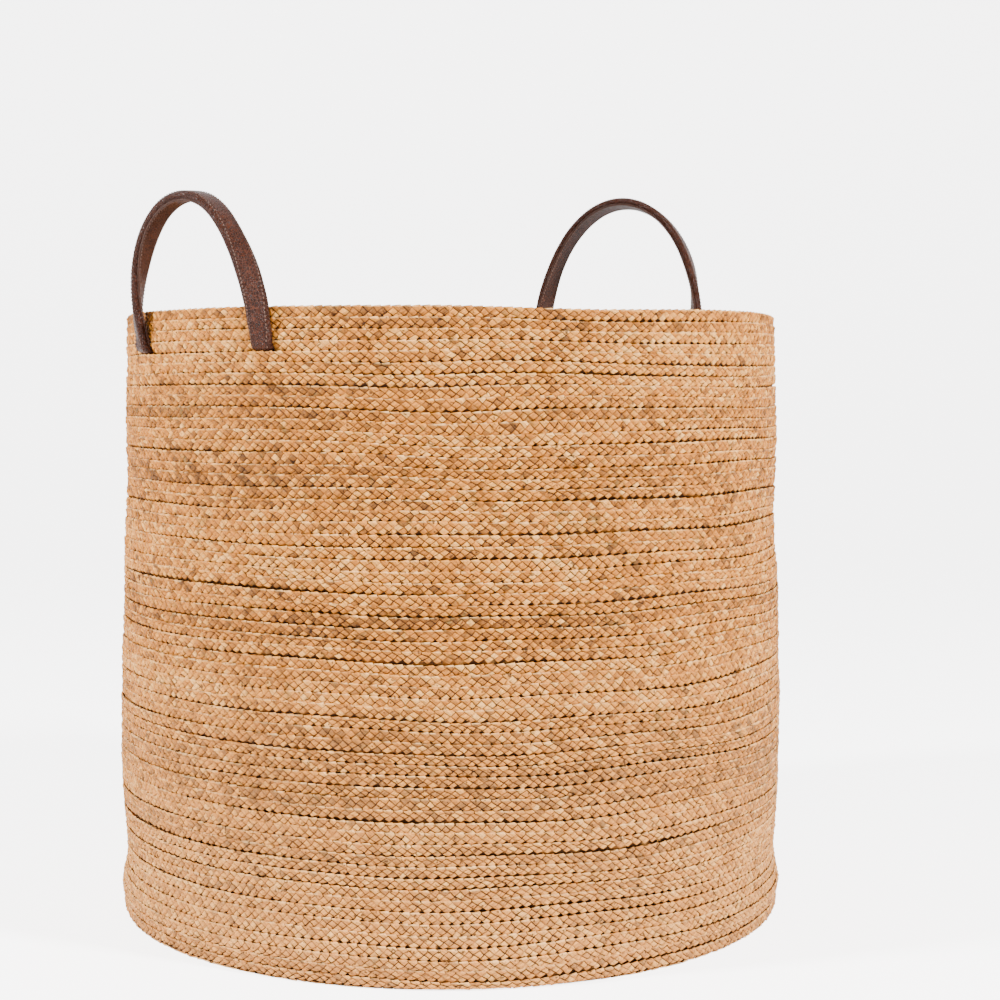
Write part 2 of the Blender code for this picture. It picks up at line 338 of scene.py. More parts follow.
class SharedEffects:
    """The node groups that more than one finish uses."""

    fine_to_wide = 5.3
    grain_shift = 0.6 * MM

    def __init__(self) -> None:
        """Build each group once."""
        self.mottle = self._mottle()
        self.grain = self._grain()

    def _mottle(self) -> bpy.types.NodeTree:
        """Soft blotches: a wide and a fine noise added, as a mask from 0 to 1."""
        w, start, end = new_group(
            "mottle",
            {"Vector": VECTOR, "Scale": NUMBER, "Fine Share": NUMBER},
            ("Mask",),
        )
        place, scale, fine_share = start.outputs[:3]
        wide = w.noise(place, scale, 2.0)
        fine = w.noise(place, w.math("MULTIPLY", scale, self.fine_to_wide), 3.0)
        both = w.node("ShaderNodeMix", {0: fine_share, 2: wide, 3: fine})
        w.tree.links.new(w.remap(both.outputs[0], 0.32, 0.68, 0.0, 1.0), end.inputs[0])
        return w.tree

    def _grain(self) -> bpy.types.NodeTree:
        """Leather grain: small cells parted by creases, as a height and as a crease mask."""
        w, start, end = new_group(
            "pebble grain", {"Vector": VECTOR, "Scale": NUMBER}, ("Height", "Crease")
        )
        place, scale = start.outputs[:2]
        warp = w.node("ShaderNodeTexNoise", {"Vector": place, "Scale": scale, "Detail": 2.0})
        inputs = {0: warp.outputs["Color"], 3: self.grain_shift}
        shift = w.node("ShaderNodeVectorMath", inputs, operation="SCALE")
        moved = w.node("ShaderNodeVectorMath", {0: place, 1: shift.outputs[0]}, operation="ADD")
        inputs = {"Vector": moved.outputs[0], "Scale": scale, "Randomness": 1.0}
        cells = w.node("ShaderNodeTexVoronoi", inputs, feature="DISTANCE_TO_EDGE").outputs[0]
        w.tree.links.new(w.remap(cells, 0.0, 0.28, 0.0, 1.0), end.inputs["Height"])
        w.tree.links.new(w.remap(cells, 0.0, 0.11, 1.0, 0.0), end.inputs["Crease"])
        return w.tree


@dataclass(frozen=True)
class LeafFinish:
    """Dry split leaf: golden tan strips with long fibres, a painted highlight on the folds, painted
    shade in the gaps at the crossings and painted floor light towards the foot.
    """

    tones: tuple = (
        (0.00, (0.130, 0.048, 0.010)),
        (0.20, (0.330, 0.112, 0.014)),
        (0.46, (0.560, 0.190, 0.022)),
        (0.74, (0.720, 0.280, 0.042)),
        (1.00, (0.880, 0.440, 0.120)),
    )
    # Colour of the painted highlight where the folded top edge of each course catches the light.
    fold: Colour = (0.96, 0.58, 0.24)
    # Near black for the needle holes, the small dark specks and the painted shade in the gaps
    # between facets.
    shade_and_hole_dark: Colour = (0.030, 0.010, 0.003)
    green: Colour = (0.26, 0.17, 0.045)
    # Pale tint of painted light bounced from the floor, strongest near the foot of the wall.
    floor_bounce_tint: Colour = (0.84, 0.42, 0.15)
    roughness: float = 0.56
    specular: float = 0.16
    fibre_depth: float = 0.40 * MM
    cloud_scale: float = 16.0
    green_scale: float = 46.0
    speck_scale: float = 330.0
    floor_bounce_foot: float = 0.02
    floor_bounce_top: float = 0.23
    hole_pitch: float = 2.1
    hole_line: float = 5.35

    def build(self, effects: SharedEffects) -> bpy.types.Material:
        """Make the material.

        Args:
            effects: The shared node groups.

        Returns:
            The leaf material.
        """
        made, w = new_material("dry leaf plait")
        leaf, course, places = w.map_of("leaf"), w.map_of("course"), w.places()
        fibre = w.noise(w.stretch(leaf, 1.0, 0.13), 1.0, 4.0, 0.7)
        hair = w.noise(w.stretch(leaf, 2.1, 0.18), 1.0, 3.0, 0.7)
        cloud = w.mottle(effects.mottle, places, self.cloud_scale, 0.45)
        tone = w.math("MULTIPLY", w.value_of("tone"), 0.80)
        tone = w.math("ADD", tone, w.math("MULTIPLY", cloud, 0.26))
        tone = w.math("ADD", tone, w.remap(fibre, 0.3, 0.7, -0.20, 0.18), clamp=True)
        colour = w.ramp(tone, self.tones)
        green = w.mottle(effects.mottle, places, self.green_scale, 0.6)
        colour = w.mix(w.remap(green, 0.66, 1.0, 0.0, 0.45), colour, self.green)
        # Painted floor light: the wall gets paler towards its foot.
        height = w.node("ShaderNodeSeparateXYZ", {0: places}).outputs[2]
        floor_bounce_share = w.remap(height, self.floor_bounce_top, self.floor_bounce_foot, 0.0, 0.30)
        colour = w.mix(floor_bounce_share, colour, self.floor_bounce_tint)
        streak = w.remap(hair, 0.32, 0.68, 0.52, 1.26)
        streak = w.node("ShaderNodeCombineColor", {0: streak, 1: streak, 2: streak}).outputs[0]
        colour = w.mix(1.0, colour, streak, "MULTIPLY")
        # Painted highlight along the folds, broken into patches and streaked by the fibres.
        patch = w.noise(w.stretch(course, 0.13, 0.09), 1.0, 1.0)
        fold = w.math("MULTIPLY", w.value_of("fold"), w.remap(patch, 0.40, 0.60, 0.0, 1.0))
        fold = w.math("MULTIPLY", fold, w.remap(fibre, 0.30, 0.62, 0.55, 1.0))
        colour = w.mix(fold, colour, self.fold)
        colour = w.mix(self._holes(w, course), colour, self.shade_and_hole_dark)
        speck = w.noise(places, self.speck_scale, 1.0)
        colour = w.mix(w.remap(speck, 0.66, 0.72, 0.0, 0.80), colour, self.shade_and_hole_dark)
        # Painted shade: where the relief is low, in the gaps and at the crossings, the colour goes
        # towards near black.
        depth = w.remap(w.value_of("relief"), 0.0, 0.85, 0.97, 0.0)
        colour = w.mix(depth, colour, self.shade_and_hole_dark)
        lift = w.math("ADD", w.math("MULTIPLY", fibre, 1.2), w.math("MULTIPLY", hair, 0.4))
        rough = w.remap(hair, 0.3, 0.7, self.roughness - 0.10, self.roughness + 0.10)
        w.surface(colour, rough, self.specular, lift, self.fibre_depth)
        return made

    def _holes(self, w: Wiring, course: Socket) -> Socket:
        """Needle holes of the seam: small dots at an even pitch along a line under each fold.

        The course map is in millimetres: along the plait, and across it.
        """
        parts = w.node("ShaderNodeSeparateXYZ", {0: course})
        phase = w.math("FRACT", w.math("DIVIDE", parts.outputs[0], self.hole_pitch))
        along = w.math("ABSOLUTE", w.math("SUBTRACT", phase, 0.5))
        across = w.math("ABSOLUTE", w.math("SUBTRACT", parts.outputs[1], self.hole_line))
        dot = w.remap(along, 0.10, 0.17, 1.0, 0.0)
        line = w.remap(across, 0.10, 0.22, 1.0, 0.0)
        return w.math("MULTIPLY", w.math("MULTIPLY", dot, line), 0.55)


@dataclass(frozen=True)
class HideFinish:
    """Leather or leatherboard: mottled colour, pebble grain, creases, and paler edges that are
    partly wear from rubbing and partly a painted sheen.
    """

    name: str
    dark: Colour
    light: Colour
    vein: Colour
    # Colour of the paler edges: partly wear from rubbing, partly a painted sheen.
    rubbed_and_sheen: Colour
    roughness: float
    grain_scale: float
    grain_depth: float
    specular: float

    def build(self, effects: SharedEffects) -> bpy.types.Material:
        """Make the material.

        Args:
            effects: The shared node groups.

        Returns:
            The leather material.
        """
        made, w = new_material(self.name)
        places, strap = w.places(), w.map_of("strap")
        mottle = w.mottle(effects.mottle, places, 130.0, 0.62)
        inputs = {"Vector": places, "Scale": self.grain_scale}
        grain = w.node("ShaderNodeGroup", inputs, node_tree=effects.grain)
        crease = w.noise(w.stretch(strap, 0.35, 1.5), 1.0, 4.0, 0.62)
        colour = w.mix(mottle, self.dark, self.light)
        worn = w.remap(crease, 0.32, 0.56, 0.15, 1.0)
        colour = w.mix(w.math("MULTIPLY", grain.outputs["Crease"], worn), colour, self.vein)
        # Paler edges: partly wear from rubbing and partly a painted sheen along the strap's rounded
        # edges.
        rub_and_sheen_mask = w.math("MULTIPLY", w.value_of("edge"), w.remap(crease, 0.34, 0.66, 0.10, 0.80))
        colour = w.mix(rub_and_sheen_mask, colour, self.rubbed_and_sheen)
        pebble = w.math("MULTIPLY", grain.outputs["Height"], 0.55)
        lift = w.math("ADD", pebble, w.math("MULTIPLY", crease, 1.1))
        rough = w.remap(crease, 0.3, 0.7, self.roughness + 0.14, self.roughness - 0.10)
        w.surface(colour, rough, self.specular, lift, self.grain_depth)
        return made


@dataclass(frozen=True)
class ThreadFinish:
    """Waxed thread: a fine twist along each stitch and a soft shine."""

    name: str
    dark: Colour
    light: Colour
    roughness: float = 0.5
    specular: float = 0.5
    twist_depth: float = 0.1 * MM

    def build(self, effects: SharedEffects) -> bpy.types.Material:
        """Make the material.

        Args:
            effects: The shared node groups.

        Returns:
            The thread material.
        """
        made, w = new_material(self.name)
        mottle = w.mottle(effects.mottle, w.places(), 420.0, 0.5)
        inputs = {"Vector": w.map_of("strap"), "Scale": 1.6, "Distortion": 0.4}
        twist = w.node("ShaderNodeTexWave", inputs).outputs[1]
        colour = w.mix(mottle, self.dark, self.light)
        colour = w.mix(w.math("MULTIPLY", twist, 0.3), colour, self.dark)
        rough = w.remap(mottle, 0.0, 1.0, self.roughness - 0.06, self.roughness + 0.08)
        w.surface(colour, rough, self.specular, twist, self.twist_depth, strength=0.6)
        return made


# -------------------------------------------------------------------- plait


class Meridian:
    """The basket's outline from the middle of the base to the rim, by length along it."""

    wall_steps = 2000
    base_steps = 600
    turn_steps = 24
    smoothing = 91
    wall_depth = 9 * MM

    def __init__(self, wall: str, corner_radius: float, beyond: float) -> None:
        """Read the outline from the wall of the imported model.

        Args:
            wall: The wall's node.
            corner_radius: Radius of the turn from the base to the wall.
            beyond: How far the table goes on past the rim.
        """
        points = vertex_places(frame["nodes"][wall].data)
        column = points[(np.abs(points[:, 0]) < 0.02 * MM) & (points[:, 1] > 0)]
        heights = np.unique(column[:, 2].round(6))
        radii = np.array([column[np.abs(column[:, 2] - z) < 2e-6, 1].max() for z in heights])
        keep = (radii > radii.max() - self.wall_depth) & (heights >= corner_radius - 1e-6)
        heights, radii = heights[keep], radii[keep]
        self.rim_height = float(heights[-1])
        foot = float(radii[0])
        self.base_end = foot - corner_radius
        rise = np.linspace(corner_radius, self.rim_height + beyond, self.wall_steps)
        window = np.hanning(self.smoothing)
        padded = np.pad(np.interp(rise, heights, radii), self.smoothing // 2, mode="edge")
        wall_radii = np.convolve(padded, window / window.sum(), mode="valid")
        wall_radii += foot - wall_radii[0]
        flat = np.linspace(0, self.base_end, self.base_steps)
        bend = np.radians(np.linspace(-90, 0, self.turn_steps))
        turn = np.stack([np.cos(bend), 1 + np.sin(bend)], axis=1) * corner_radius
        self.line = np.concatenate([
            np.stack([flat, np.zeros_like(flat)], axis=1)[:-1],
            (turn + [self.base_end, 0.0])[:-1],
            np.stack([wall_radii, rise], axis=1),
        ])
        steps = np.linalg.norm(np.diff(self.line, axis=0), axis=1)
        self.length = np.concatenate([[0.0], np.cumsum(steps)])
        along = unit(np.gradient(self.line, self.length, axis=0))
        self.normal = np.stack([along[:, 1], -along[:, 0]], axis=1)
        self.rim = self.length_at_height(self.rim_height)

    def at(self, length: np.ndarray) -> tuple[np.ndarray, np.ndarray]:
        """The outline's point (radius, height) and outward normal at a length from the middle."""
        point, normal = (
            np.stack([np.interp(length, self.length, rows[:, k]) for k in (0, 1)], axis=-1)
            for rows in (self.line, self.normal)
        )
        return point, unit(normal)

    def length_at_height(self, height: float) -> float:
        """The length from the middle to a height on the wall."""
        wall = slice(-self.wall_steps, None)
        return float(np.interp(height, self.line[wall, 1], self.length[wall]))


@dataclass(frozen=True)
class Facet:
    """One visible crossing of the plait: its outline, corner by corner, and its slant.

    Each corner is a node of the plait's lattice with the period that it belongs to,
    counted from the facet's own, in anticlockwise order seen from outside.
    """

    name: str
    outline: tuple
    slant: Slant
    raised_outside: bool = True
    raised_inside: bool = True

    def raised(self, sheet: Sheet) -> bool:
        """Whether the facet has a crown on a sheet."""
        return self.raised_inside if sheet is Sheet.INNER else self.raised_outside

    def slant_on(self, sheet: Sheet) -> Slant:
        """The slant seen from outside, which turns round on the inner sheet."""
        return Slant(-self.slant.value) if sheet is Sheet.INNER else self.slant


@dataclass(frozen=True)
class Unevenness:
    """How far the plait strays from an even one.

    Steps count the periods between the random knots of a slow curve. Shakes are
    shares of a period and of a course, and times are the spread of random numbers.
    """

    limit: float = 2.0
    strips: int = 7
    strip_step: int = 22
    strip_shade: float = 0.20
    batch_step: int = 420
    batch_shade: float = 0.10
    chance_shade: float = 0.22
    slide_step: int = 26
    slide: float = 0.065
    creep_step: int = 38
    creep: float = 0.078
    stand_step: int = 60
    stand: float = 0.22 * MM
    tilt: tuple = (0.30, 0.25)
    lift: float = 0.12
    node_shake: tuple = (0.055, 0.030)
    crown_shake: tuple = (0.050, 0.028)
    edge_crown_shake: float = 0.008
    edge_node_share: float = 0.3
    edge_crown_share: float = 0.4
    waves: int = 10
    wander: float = 0.30 * MM
    bulge: float = 0.16 * MM


@dataclass
class PlaitCoil:
    """The long plait, coiled into the base and the wall.

    A point of the plait is (u, v, n): u counts periods along it, v runs across it
    from 0 at the last course's fold to 1 at its own fold, in courses, and n is its
    height over the basket's outline.
    """

    meridian: Meridian
    slit_angles: tuple
    seam_height: float
    pitch: float = 7.1 * MM
    period: float = 6.3 * MM
    start_turn: float = 0.6
    least_radius: float = 4.0 * MM
    least_length: float = 0.05 * MM
    end_angle: float = 90.0
    tuck_length: float = 0.150
    tuck_depth: float = 2.4 * MM
    table_steps: int = 60000
    spare: int = 6
    seed: int = 1107
    uneven: Unevenness = Unevenness()
    # Across the plait: how far the outer surface stands from the outline, and the thickness.
    across: tuple = (-0.40, -0.10, 0.0, 0.15, 0.50, 0.80, 0.93, 1.05)
    stand: tuple = (-2.20, -1.48, -1.02, -0.62, -0.16, 0.0, -0.05, -0.22)
    thick: tuple = (1.10, 1.45, 1.50, 1.50, 1.45, 1.35, 1.05, 0.90)
    lattice: dict = field(default_factory=lambda: {
        "R": (-0.25, 1.00),
        "T": (-0.15, 0.93),
        "N": (0.00, 0.83),
        "M": (0.50, 0.50),
        "K": (0.00, 0.17),
        "L": (0.50, -0.15),
        "G": (0.20, -0.31),
        "H": (0.14, -0.37),
    })
    facets: tuple = (
        Facet(
            "A", (("R", 0), ("T", 0), ("N", 0), ("M", 0), ("N", 1), ("T", 1), ("R", 1)),
            Slant.FALLING, raised_inside=False,
        ),
        Facet("B", (("M", -1), ("K", 0), ("M", 0), ("N", 0)), Slant.RISING),
        Facet("C", (("K", 0), ("L", 0), ("K", 1), ("M", 0)), Slant.FALLING),
        Facet(
            "D", (("H", 1), ("G", 1), ("L", 1), ("K", 1), ("L", 0), ("G", 0), ("H", 0)),
            Slant.RISING, raised_outside=False,
        ),
    )
    edge_nodes: str = "RH"
    middle_nodes: str = "MKL"
    dip: float = 0.98
    dip_spread: float = 0.24
    # Share of the painted fold highlight at the fold's crown points.
    fold_highlight_share: dict = field(default_factory=lambda: {"R": 0.90, "T": 0.50})
    slit_opening: float = 3.0 * MM
    slit_pressing: float = 0.9 * MM

    def __post_init__(self) -> None:
        """Work out the coil's length table and its random unevenness."""
        m = self.meridian
        self.end_turn = m.rim / self.pitch + 0.5
        self.first_angle = math.radians(self.end_angle) - FULL_TURN * self.end_turn
        self.turns = np.linspace(self.start_turn, self.end_turn, self.table_steps)
        radius = np.maximum(m.at(self.pitch * (self.turns - 0.6))[0][:, 0], self.least_radius)
        steps = FULL_TURN * np.diff(self.turns) * (radius[1:] + radius[:-1]) / 2
        self.run = np.concatenate([[0.0], np.cumsum(steps)])
        self.count = int(self.run[-1] / self.period) - 2
        self.names = list(self.lattice)
        self.sides = 2 * len(self.facets)
        self.rng = np.random.default_rng(self.seed)
        self.total = total = self.count + self.spare
        uneven = self.uneven
        self.shake = self._chance(total, len(self.names), 3)
        self.lift = self._chance(total, self.sides)
        self.tone = self._tones()
        self.offset = self.rng.random((total, self.sides, 2)) * 60
        self.slide = self._slow(uneven.slide_step) * uneven.slide
        self.creep = self._slow(uneven.creep_step) * uneven.creep
        self.stand_out = self._slow(uneven.stand_step) * uneven.stand
        self.tilt = self._chance(total, self.sides, 2) * uneven.tilt
        self.waves = self.rng.random((uneven.waves, 3))

    def _chance(self, *shape: int) -> np.ndarray:
        """Random numbers with a spread of 1, held within the limit."""
        return self.rng.normal(0.0, 1.0, shape).clip(-self.uneven.limit, self.uneven.limit)

    def _slow(self, step: int) -> np.ndarray:
        """Slow unevenness along the plait: random knots at every step, joined by an eased curve."""
        knots = self._chance(self.total // step + 3)
        place = np.arange(self.total) / step
        low = place.astype(int)
        return knots[low] + (knots[low + 1] - knots[low]) * smoothstep(place - low)

    def _tones(self) -> np.ndarray:
        """Shade of each facet from 0 to 1: its strip's, the batch's and a little chance."""
        uneven = self.uneven
        strips = np.stack([self._slow(uneven.strip_step) for _ in range(uneven.strips)])
        index = np.arange(self.total)
        batch = 0.50 + self._slow(uneven.batch_step) * uneven.batch_shade
        shades = []
        for row in range(self.sides):
            own = strips[(index + 3 * row) % uneven.strips, index] * uneven.strip_shade
            shades.append(batch + own + self.rng.normal(0.0, uneven.chance_shade, self.total))
        return np.stack(shades, axis=1).clip(0.0, 1.0)

    @staticmethod
    def _ease(angle: np.ndarray, middles: np.ndarray, flat: float, fall: float) -> np.ndarray:
        """1 near any of the middles, easing to 0 past its flat part, all in radians."""
        ease = np.zeros_like(angle)
        for middle in middles:
            away = np.abs((angle - middle + math.pi) % FULL_TURN - math.pi)
            ease = np.maximum(ease, 1 - smoothstep((away - flat) / fall))
        return ease

    def handle_ease(self, angle: np.ndarray) -> np.ndarray:
        """1 beside a handle, falling to 0 away from it."""
        middles = np.mean(self.slit_angles, axis=1)
        return self._ease(angle, middles, math.radians(24), math.radians(22))

    def slit_ease(self, angle: np.ndarray) -> np.ndarray:
        """1 across each strap's slit, falling to 0 beyond its ends."""
        radius = self.meridian.base_end
        return self._ease(angle, np.ravel(self.slit_angles), 8 * MM / radius, 13 * MM / radius)

    def place(self, u: np.ndarray, v: np.ndarray, n: np.ndarray) -> np.ndarray:
        """Places of points of the plait.

        The turn count t comes from the length along the plait. The angle is 2πt, and
        the length along the outline is pitch·(t − 1 + v) with a slow wander. The point
        is the outline's point there plus n along its normal, turned to the angle.

        Args:
            u: Periods along the plait.
            v: Courses across it.
            n: Height over the outline.

        Returns:
            The places, with a last axis of 3.
        """
        run = u * self.period
        turn = np.interp(run, self.run, self.turns)
        angle = self.first_angle + FULL_TURN * turn
        by_handle = self.handle_ease(angle)
        since_end = (angle - math.radians(self.end_angle)) % FULL_TURN / FULL_TURN
        fold = self.pitch * (turn - (since_end - 0.5) * by_handle)
        length = fold + self.pitch * (v - 1)
        wander = np.zeros_like(length)
        bulge = np.zeros_like(length)
        for k, (a, b, c) in enumerate(self.waves):
            phase = (k + 1) * angle + FULL_TURN * (a + length * (4 + 9 * b))
            wander += np.sin(phase) * self.uneven.wander
            bulge += np.sin(phase + FULL_TURN * c) * self.uneven.bulge
        wall_share = smoothstep((length - self.meridian.base_end) / (40 * MM))
        length = length + wander * (1 - 0.6 * by_handle)
        left = self.run[-1] - run
        tuck = smoothstep((self.tuck_length - left) / (self.tuck_length * 0.9))
        length = length - tuck * self.pitch
        height = n + bulge * wall_share - tuck * self.tuck_depth
        seam = self.meridian.length_at_height(self.seam_height)
        from_seam = np.abs(length - seam)
        opened = self.slit_opening * np.exp(-from_seam / (6 * MM))
        pressed = -self.slit_pressing * np.exp(-from_seam / (9 * MM))
        below = fold < seam + self.pitch / 2
        height = height + self.slit_ease(angle) * np.where(below, opened, pressed)
        point, normal = self.meridian.at(np.maximum(length, self.least_length))
        radius, z = np.moveaxis(point + normal * height[..., None], -1, 0)
        x, y = radius * np.cos(angle), radius * np.sin(angle)
        return np.stack([x, y, np.maximum(z, 0.0)], axis=-1)

    def crown(self, facet: Facet, sheet: Sheet) -> list[tuple[float, float, float]]:
        """The raised ring inside a facet's outline, as (u, v, height in mm) for each corner.

        A four-sided facet's ring is its outline drawn in along the strand and across
        it by different shares, so the strand slopes down to where it dives under its
        neighbours. A fold's ring bulges over the edge of the plait.
        """
        corners = [(self.lattice[name][0] + k, self.lattice[name][1]) for name, k in facet.outline]
        corners = np.array(corners)
        middle = corners.mean(axis=0)
        if len(corners) == 7:
            fold = 1 if facet.raised_outside else -1
            drawn = middle + (corners - middle) * [0.84, 0.80]
            drawn[0, 1] = corners[0, 1] - 0.025 * fold
            drawn[6, 1] = corners[6, 1] + 0.055 * fold
            drawn[[1, 5], 1] = corners[[1, 5], 1]
            rise = (-0.34, 0.26, 0.36, 0.05, 0.34, 0.36, -0.10)
            return [(u, v, h) for (u, v), h in zip(drawn, rise)]
        left, low, right, top = corners
        keep = (0.64, 0.88) if facet.slant_on(sheet) is Slant.RISING else (0.88, 0.64)
        rising = (top + right - left - low) / 4 * keep[0]
        falling = (top + left - right - low) / 4 * keep[1]
        ring = ((-1, 1), (-1, -1), (1, -1), (1, 1))
        return [(*(middle + rising * a + falling * b), 0.40) for a, b in ring]

    def points(self, first: int, last: int) -> dict:
        """All lattice and crown points of a stretch of the plait.

        Args:
            first: The stretch's first period.
            last: The period after its last.

        Returns:
            Places, relief (which sets the painted shade in the gaps), the share of the painted fold
            highlight, and each point's u and v, with the keys of each point's column.
        """
        uneven = self.uneven
        periods = np.arange(first - 1, last + 2)
        rows = periods + 2
        columns, keys = [], {}

        def column(
            key: tuple, u: np.ndarray, v: np.ndarray, h: np.ndarray, relief: object, fold: float
        ) -> None:
            """Add one column of points on the key's sheet, one for each period."""
            keys[key] = len(columns)
            n = np.interp(v, self.across, self.stand) * MM + self.stand_out[rows]
            thick = np.interp(v, self.across, self.thick) * MM
            n = {
                Sheet.OUTER: n + h,
                Sheet.INNER: n - thick - h,
                Sheet.MIDDLE: n - thick / 2 + h,
            }[key[1]]
            # relief sets the painted shade, and fold the share of the painted fold highlight, at
            # these points.
            columns.append((u, v, n, np.broadcast_to(relief, u.shape), np.full(u.shape, fold)))

        slide, creep = self.slide[rows], self.creep[rows]
        for k, (name, (u0, v0)) in enumerate(self.lattice.items()):
            shake = self.shake[rows, k]
            steady = uneven.edge_node_share if name in self.edge_nodes else 1.0
            own_slide = slide if name in self.middle_nodes else 0.0
            u = periods + u0 + shake[:, 0] * uneven.node_shake[0]
            v = v0 + (shake[:, 1] * uneven.node_shake[1] + own_slide) * steady + creep
            dip = -(self.dip + self.dip_spread * shake[:, 2]) * MM
            # Painted shade at the crossings, deepest at M and N under the lower edges of the
            # facets.
            dark = -0.02 - 0.40 * shake[:, 2] - (0.20 if name in "MN" else 0.0)
            if name in self.edge_nodes:
                # The fold's edge point gets a little of the painted fold highlight and part of the
                # painted gap shade.
                column((name, Sheet.MIDDLE), u, v - 0.07, dip * 0.25, 0.50, 0.25)
            else:
                column((name, Sheet.OUTER), u, v, dip, dark, 0.0)
                column((name, Sheet.INNER), u, v, dip * 0.5, dark, 0.0)
        for side, facet, sheet in self.facet_sides():
            if not facet.raised(sheet):
                continue
            lift, tilt = self.lift[rows, side] * uneven.lift, self.tilt[rows, side]
            ring = self.crown(facet, sheet)
            middle = np.mean(ring, axis=0)
            for c, (u0, v0, h) in enumerate(ring):
                name, shift = facet.outline[c]
                at_edge = name in self.edge_nodes
                near = np.clip(rows + shift, 0, self.total - 1)
                shake = self.shake[near, self.names.index(name)]
                across_shake = uneven.edge_crown_shake if at_edge else uneven.crown_shake[1]
                u = periods + u0 + shake[:, 0] * uneven.crown_shake[0]
                v = v0 + shake[:, 1] * across_shake + creep
                v = v + (slide if name in self.middle_nodes else 0.0)
                lean = tilt[:, 0] * (u0 - middle[0]) * 2 + tilt[:, 1] * (v0 - middle[1]) * 4
                steady = uneven.edge_crown_share if at_edge else 1.0
                # Share of the painted highlight on the fold's crown.
                pale = self.fold_highlight_share.get(name, 0.0) if facet.name == "A" else 0.0
                rise = (h + (lift + lean) * steady) * MM
                column((facet.name, sheet, c), u, v, rise, 1.0, pale)
        u, v, n, relief, fold = (
            np.stack([item[k] for item in columns], axis=1) for k in range(5)
        )
        places = self.place(u, v, n)
        return {"keys": keys, "u": u, "v": v, "places": places, "relief": relief, "fold": fold}

    def facet_sides(self) -> list[tuple[int, Facet, Sheet]]:
        """Each facet on each sheet, with the row that holds its random numbers."""
        sheets = (Sheet.OUTER, Sheet.INNER)
        count = len(self.facets)
        return [(f + count * k, facet, sheet)
                for f, facet in enumerate(self.facets) for k, sheet in enumerate(sheets)]

    def faces(self, keys: dict) -> list[tuple]:
        """The faces of one period.

        A raised facet has a band of quads from its outline to its crown and a cap on
        the crown. A flat one has its cap on the outline. Inner faces run backwards.

        Args:
            keys: Each point's column.

        Returns:
            For each face, its corners as (column, period shift), and its row of
            random numbers, its slant and 1 on the inner sheet or 0 on the outer.
        """
        caps = {4: ((0, 1, 2, 3),), 7: ((0, 1, 5, 6), (1, 2, 4, 5), (2, 3, 4))}
        made = []
        for side, facet, sheet in self.facet_sides():
            count = len(facet.outline)
            rim = ring = [
                (keys[name, Sheet.MIDDLE if name in self.edge_nodes else sheet], shift)
                for name, shift in facet.outline
            ]
            band = []
            if facet.raised(sheet):
                ring = [(keys[facet.name, sheet, c], 0) for c in range(count)]
                following = rim[1:] + rim[:1], ring[1:] + ring[:1]
                band = [list(quad) for quad in zip(rim, *following, ring)]
            loops = [[ring[c] for c in cap] for cap in caps[count]] + band
            inner = sheet is Sheet.INNER
            facts = (side, facet.slant_on(sheet).value, int(inner))
            made += [(loop[::-1] if inner else loop, facts) for loop in loops]
        return made

    def end_caps(self, keys: dict) -> list[list[tuple]]:
        """Faces that close the plait where a period starts, from its outer to its inner sheet."""
        line = [("T", 0), ("N", 0), ("M", -1), ("K", 0), ("L", 0), ("G", 0)]
        outer = [(keys[name, Sheet.OUTER], shift) for name, shift in line]
        inner = [(keys[name, Sheet.INNER], shift) for name, shift in line]
        caps = [[outer[k], inner[k], inner[k + 1], outer[k + 1]] for k in range(len(line) - 1)]
        fold = (keys["R", Sheet.MIDDLE], 0)
        foot = (keys["H", Sheet.MIDDLE], 0)
        return [[fold, inner[0], outer[0]], *caps, [outer[-1], inner[-1], foot]]

    def build(
        self, name: str, first: int, last: int, material: bpy.types.Material
    ) -> bpy.types.Object:
        """Build one stretch of the plait as a closed piece.

        Args:
            name: The piece's name.
            first: Its first period.
            last: The period after its last.
            material: Its finish.

        Returns:
            The new piece.
        """
        data = self.points(first, last)
        width = data["u"].shape[1]
        periods = np.arange(first, last)
        count = len(periods)
        loops = self.faces(data["keys"])
        index = np.concatenate([[at + shift * width for at, shift in loop] for loop, _ in loops])
        flat = [((periods - first + 1)[:, None] * width + index).ravel()]
        sizes = [np.tile([len(loop) for loop, _ in loops], count)]
        facts = [np.tile([fact for _, fact in loops], (count, 1))]
        owner = [np.repeat(periods, len(loops))]
        for start, period, step in ((first, first, 1), (last, last - 1, -1)):
            row = start - first + 1
            for loop in self.end_caps(data["keys"]):
                flat.append([at + (row + shift) * width for at, shift in loop][::step])
                sizes.append([len(loop)])
                facts.append([(0, 1, 0)])
                owner.append([period])
        flat, sizes, facts, owner = map(np.concatenate, (flat, sizes, facts, owner))
        corner_side, slant, inner = np.repeat(facts, sizes, axis=0).T
        period = np.repeat(owner, sizes)
        used, compact = np.unique(flat, return_inverse=True)
        places = data["places"].reshape(-1, 3)[used]
        mesh = mesh_from_arrays(name, places, compact, sizes)
        # relief sets the painted shade in the gaps, and fold the painted highlight on the folds.
        set_values(mesh, "relief", "POINT", data["relief"].ravel()[used])
        set_values(mesh, "fold", "POINT", data["fold"].ravel()[used])
        set_values(mesh, "tone", "FACE", self.tone[owner + 2, facts[:, 0]])
        along = (data["u"].ravel()[flat] - first) * self.period / MM
        across = data["v"].ravel()[flat] * self.pitch / MM
        set_map(mesh, "OFBake", self.bake_map(along, across, inner, period - first, count))
        lean = math.atan2(0.33 * self.pitch, 0.5 * self.period)
        shift = self.offset[period + 2, corner_side]
        over = along * math.sin(lean) * -slant + across * math.cos(lean)
        down = along * math.cos(lean) * slant + across * math.sin(lean)
        set_map(mesh, "leaf", np.stack([over, down], axis=1) + shift)
        set_map(mesh, "course", np.stack([along, across], axis=1))
        return add_piece(name, mesh, material)

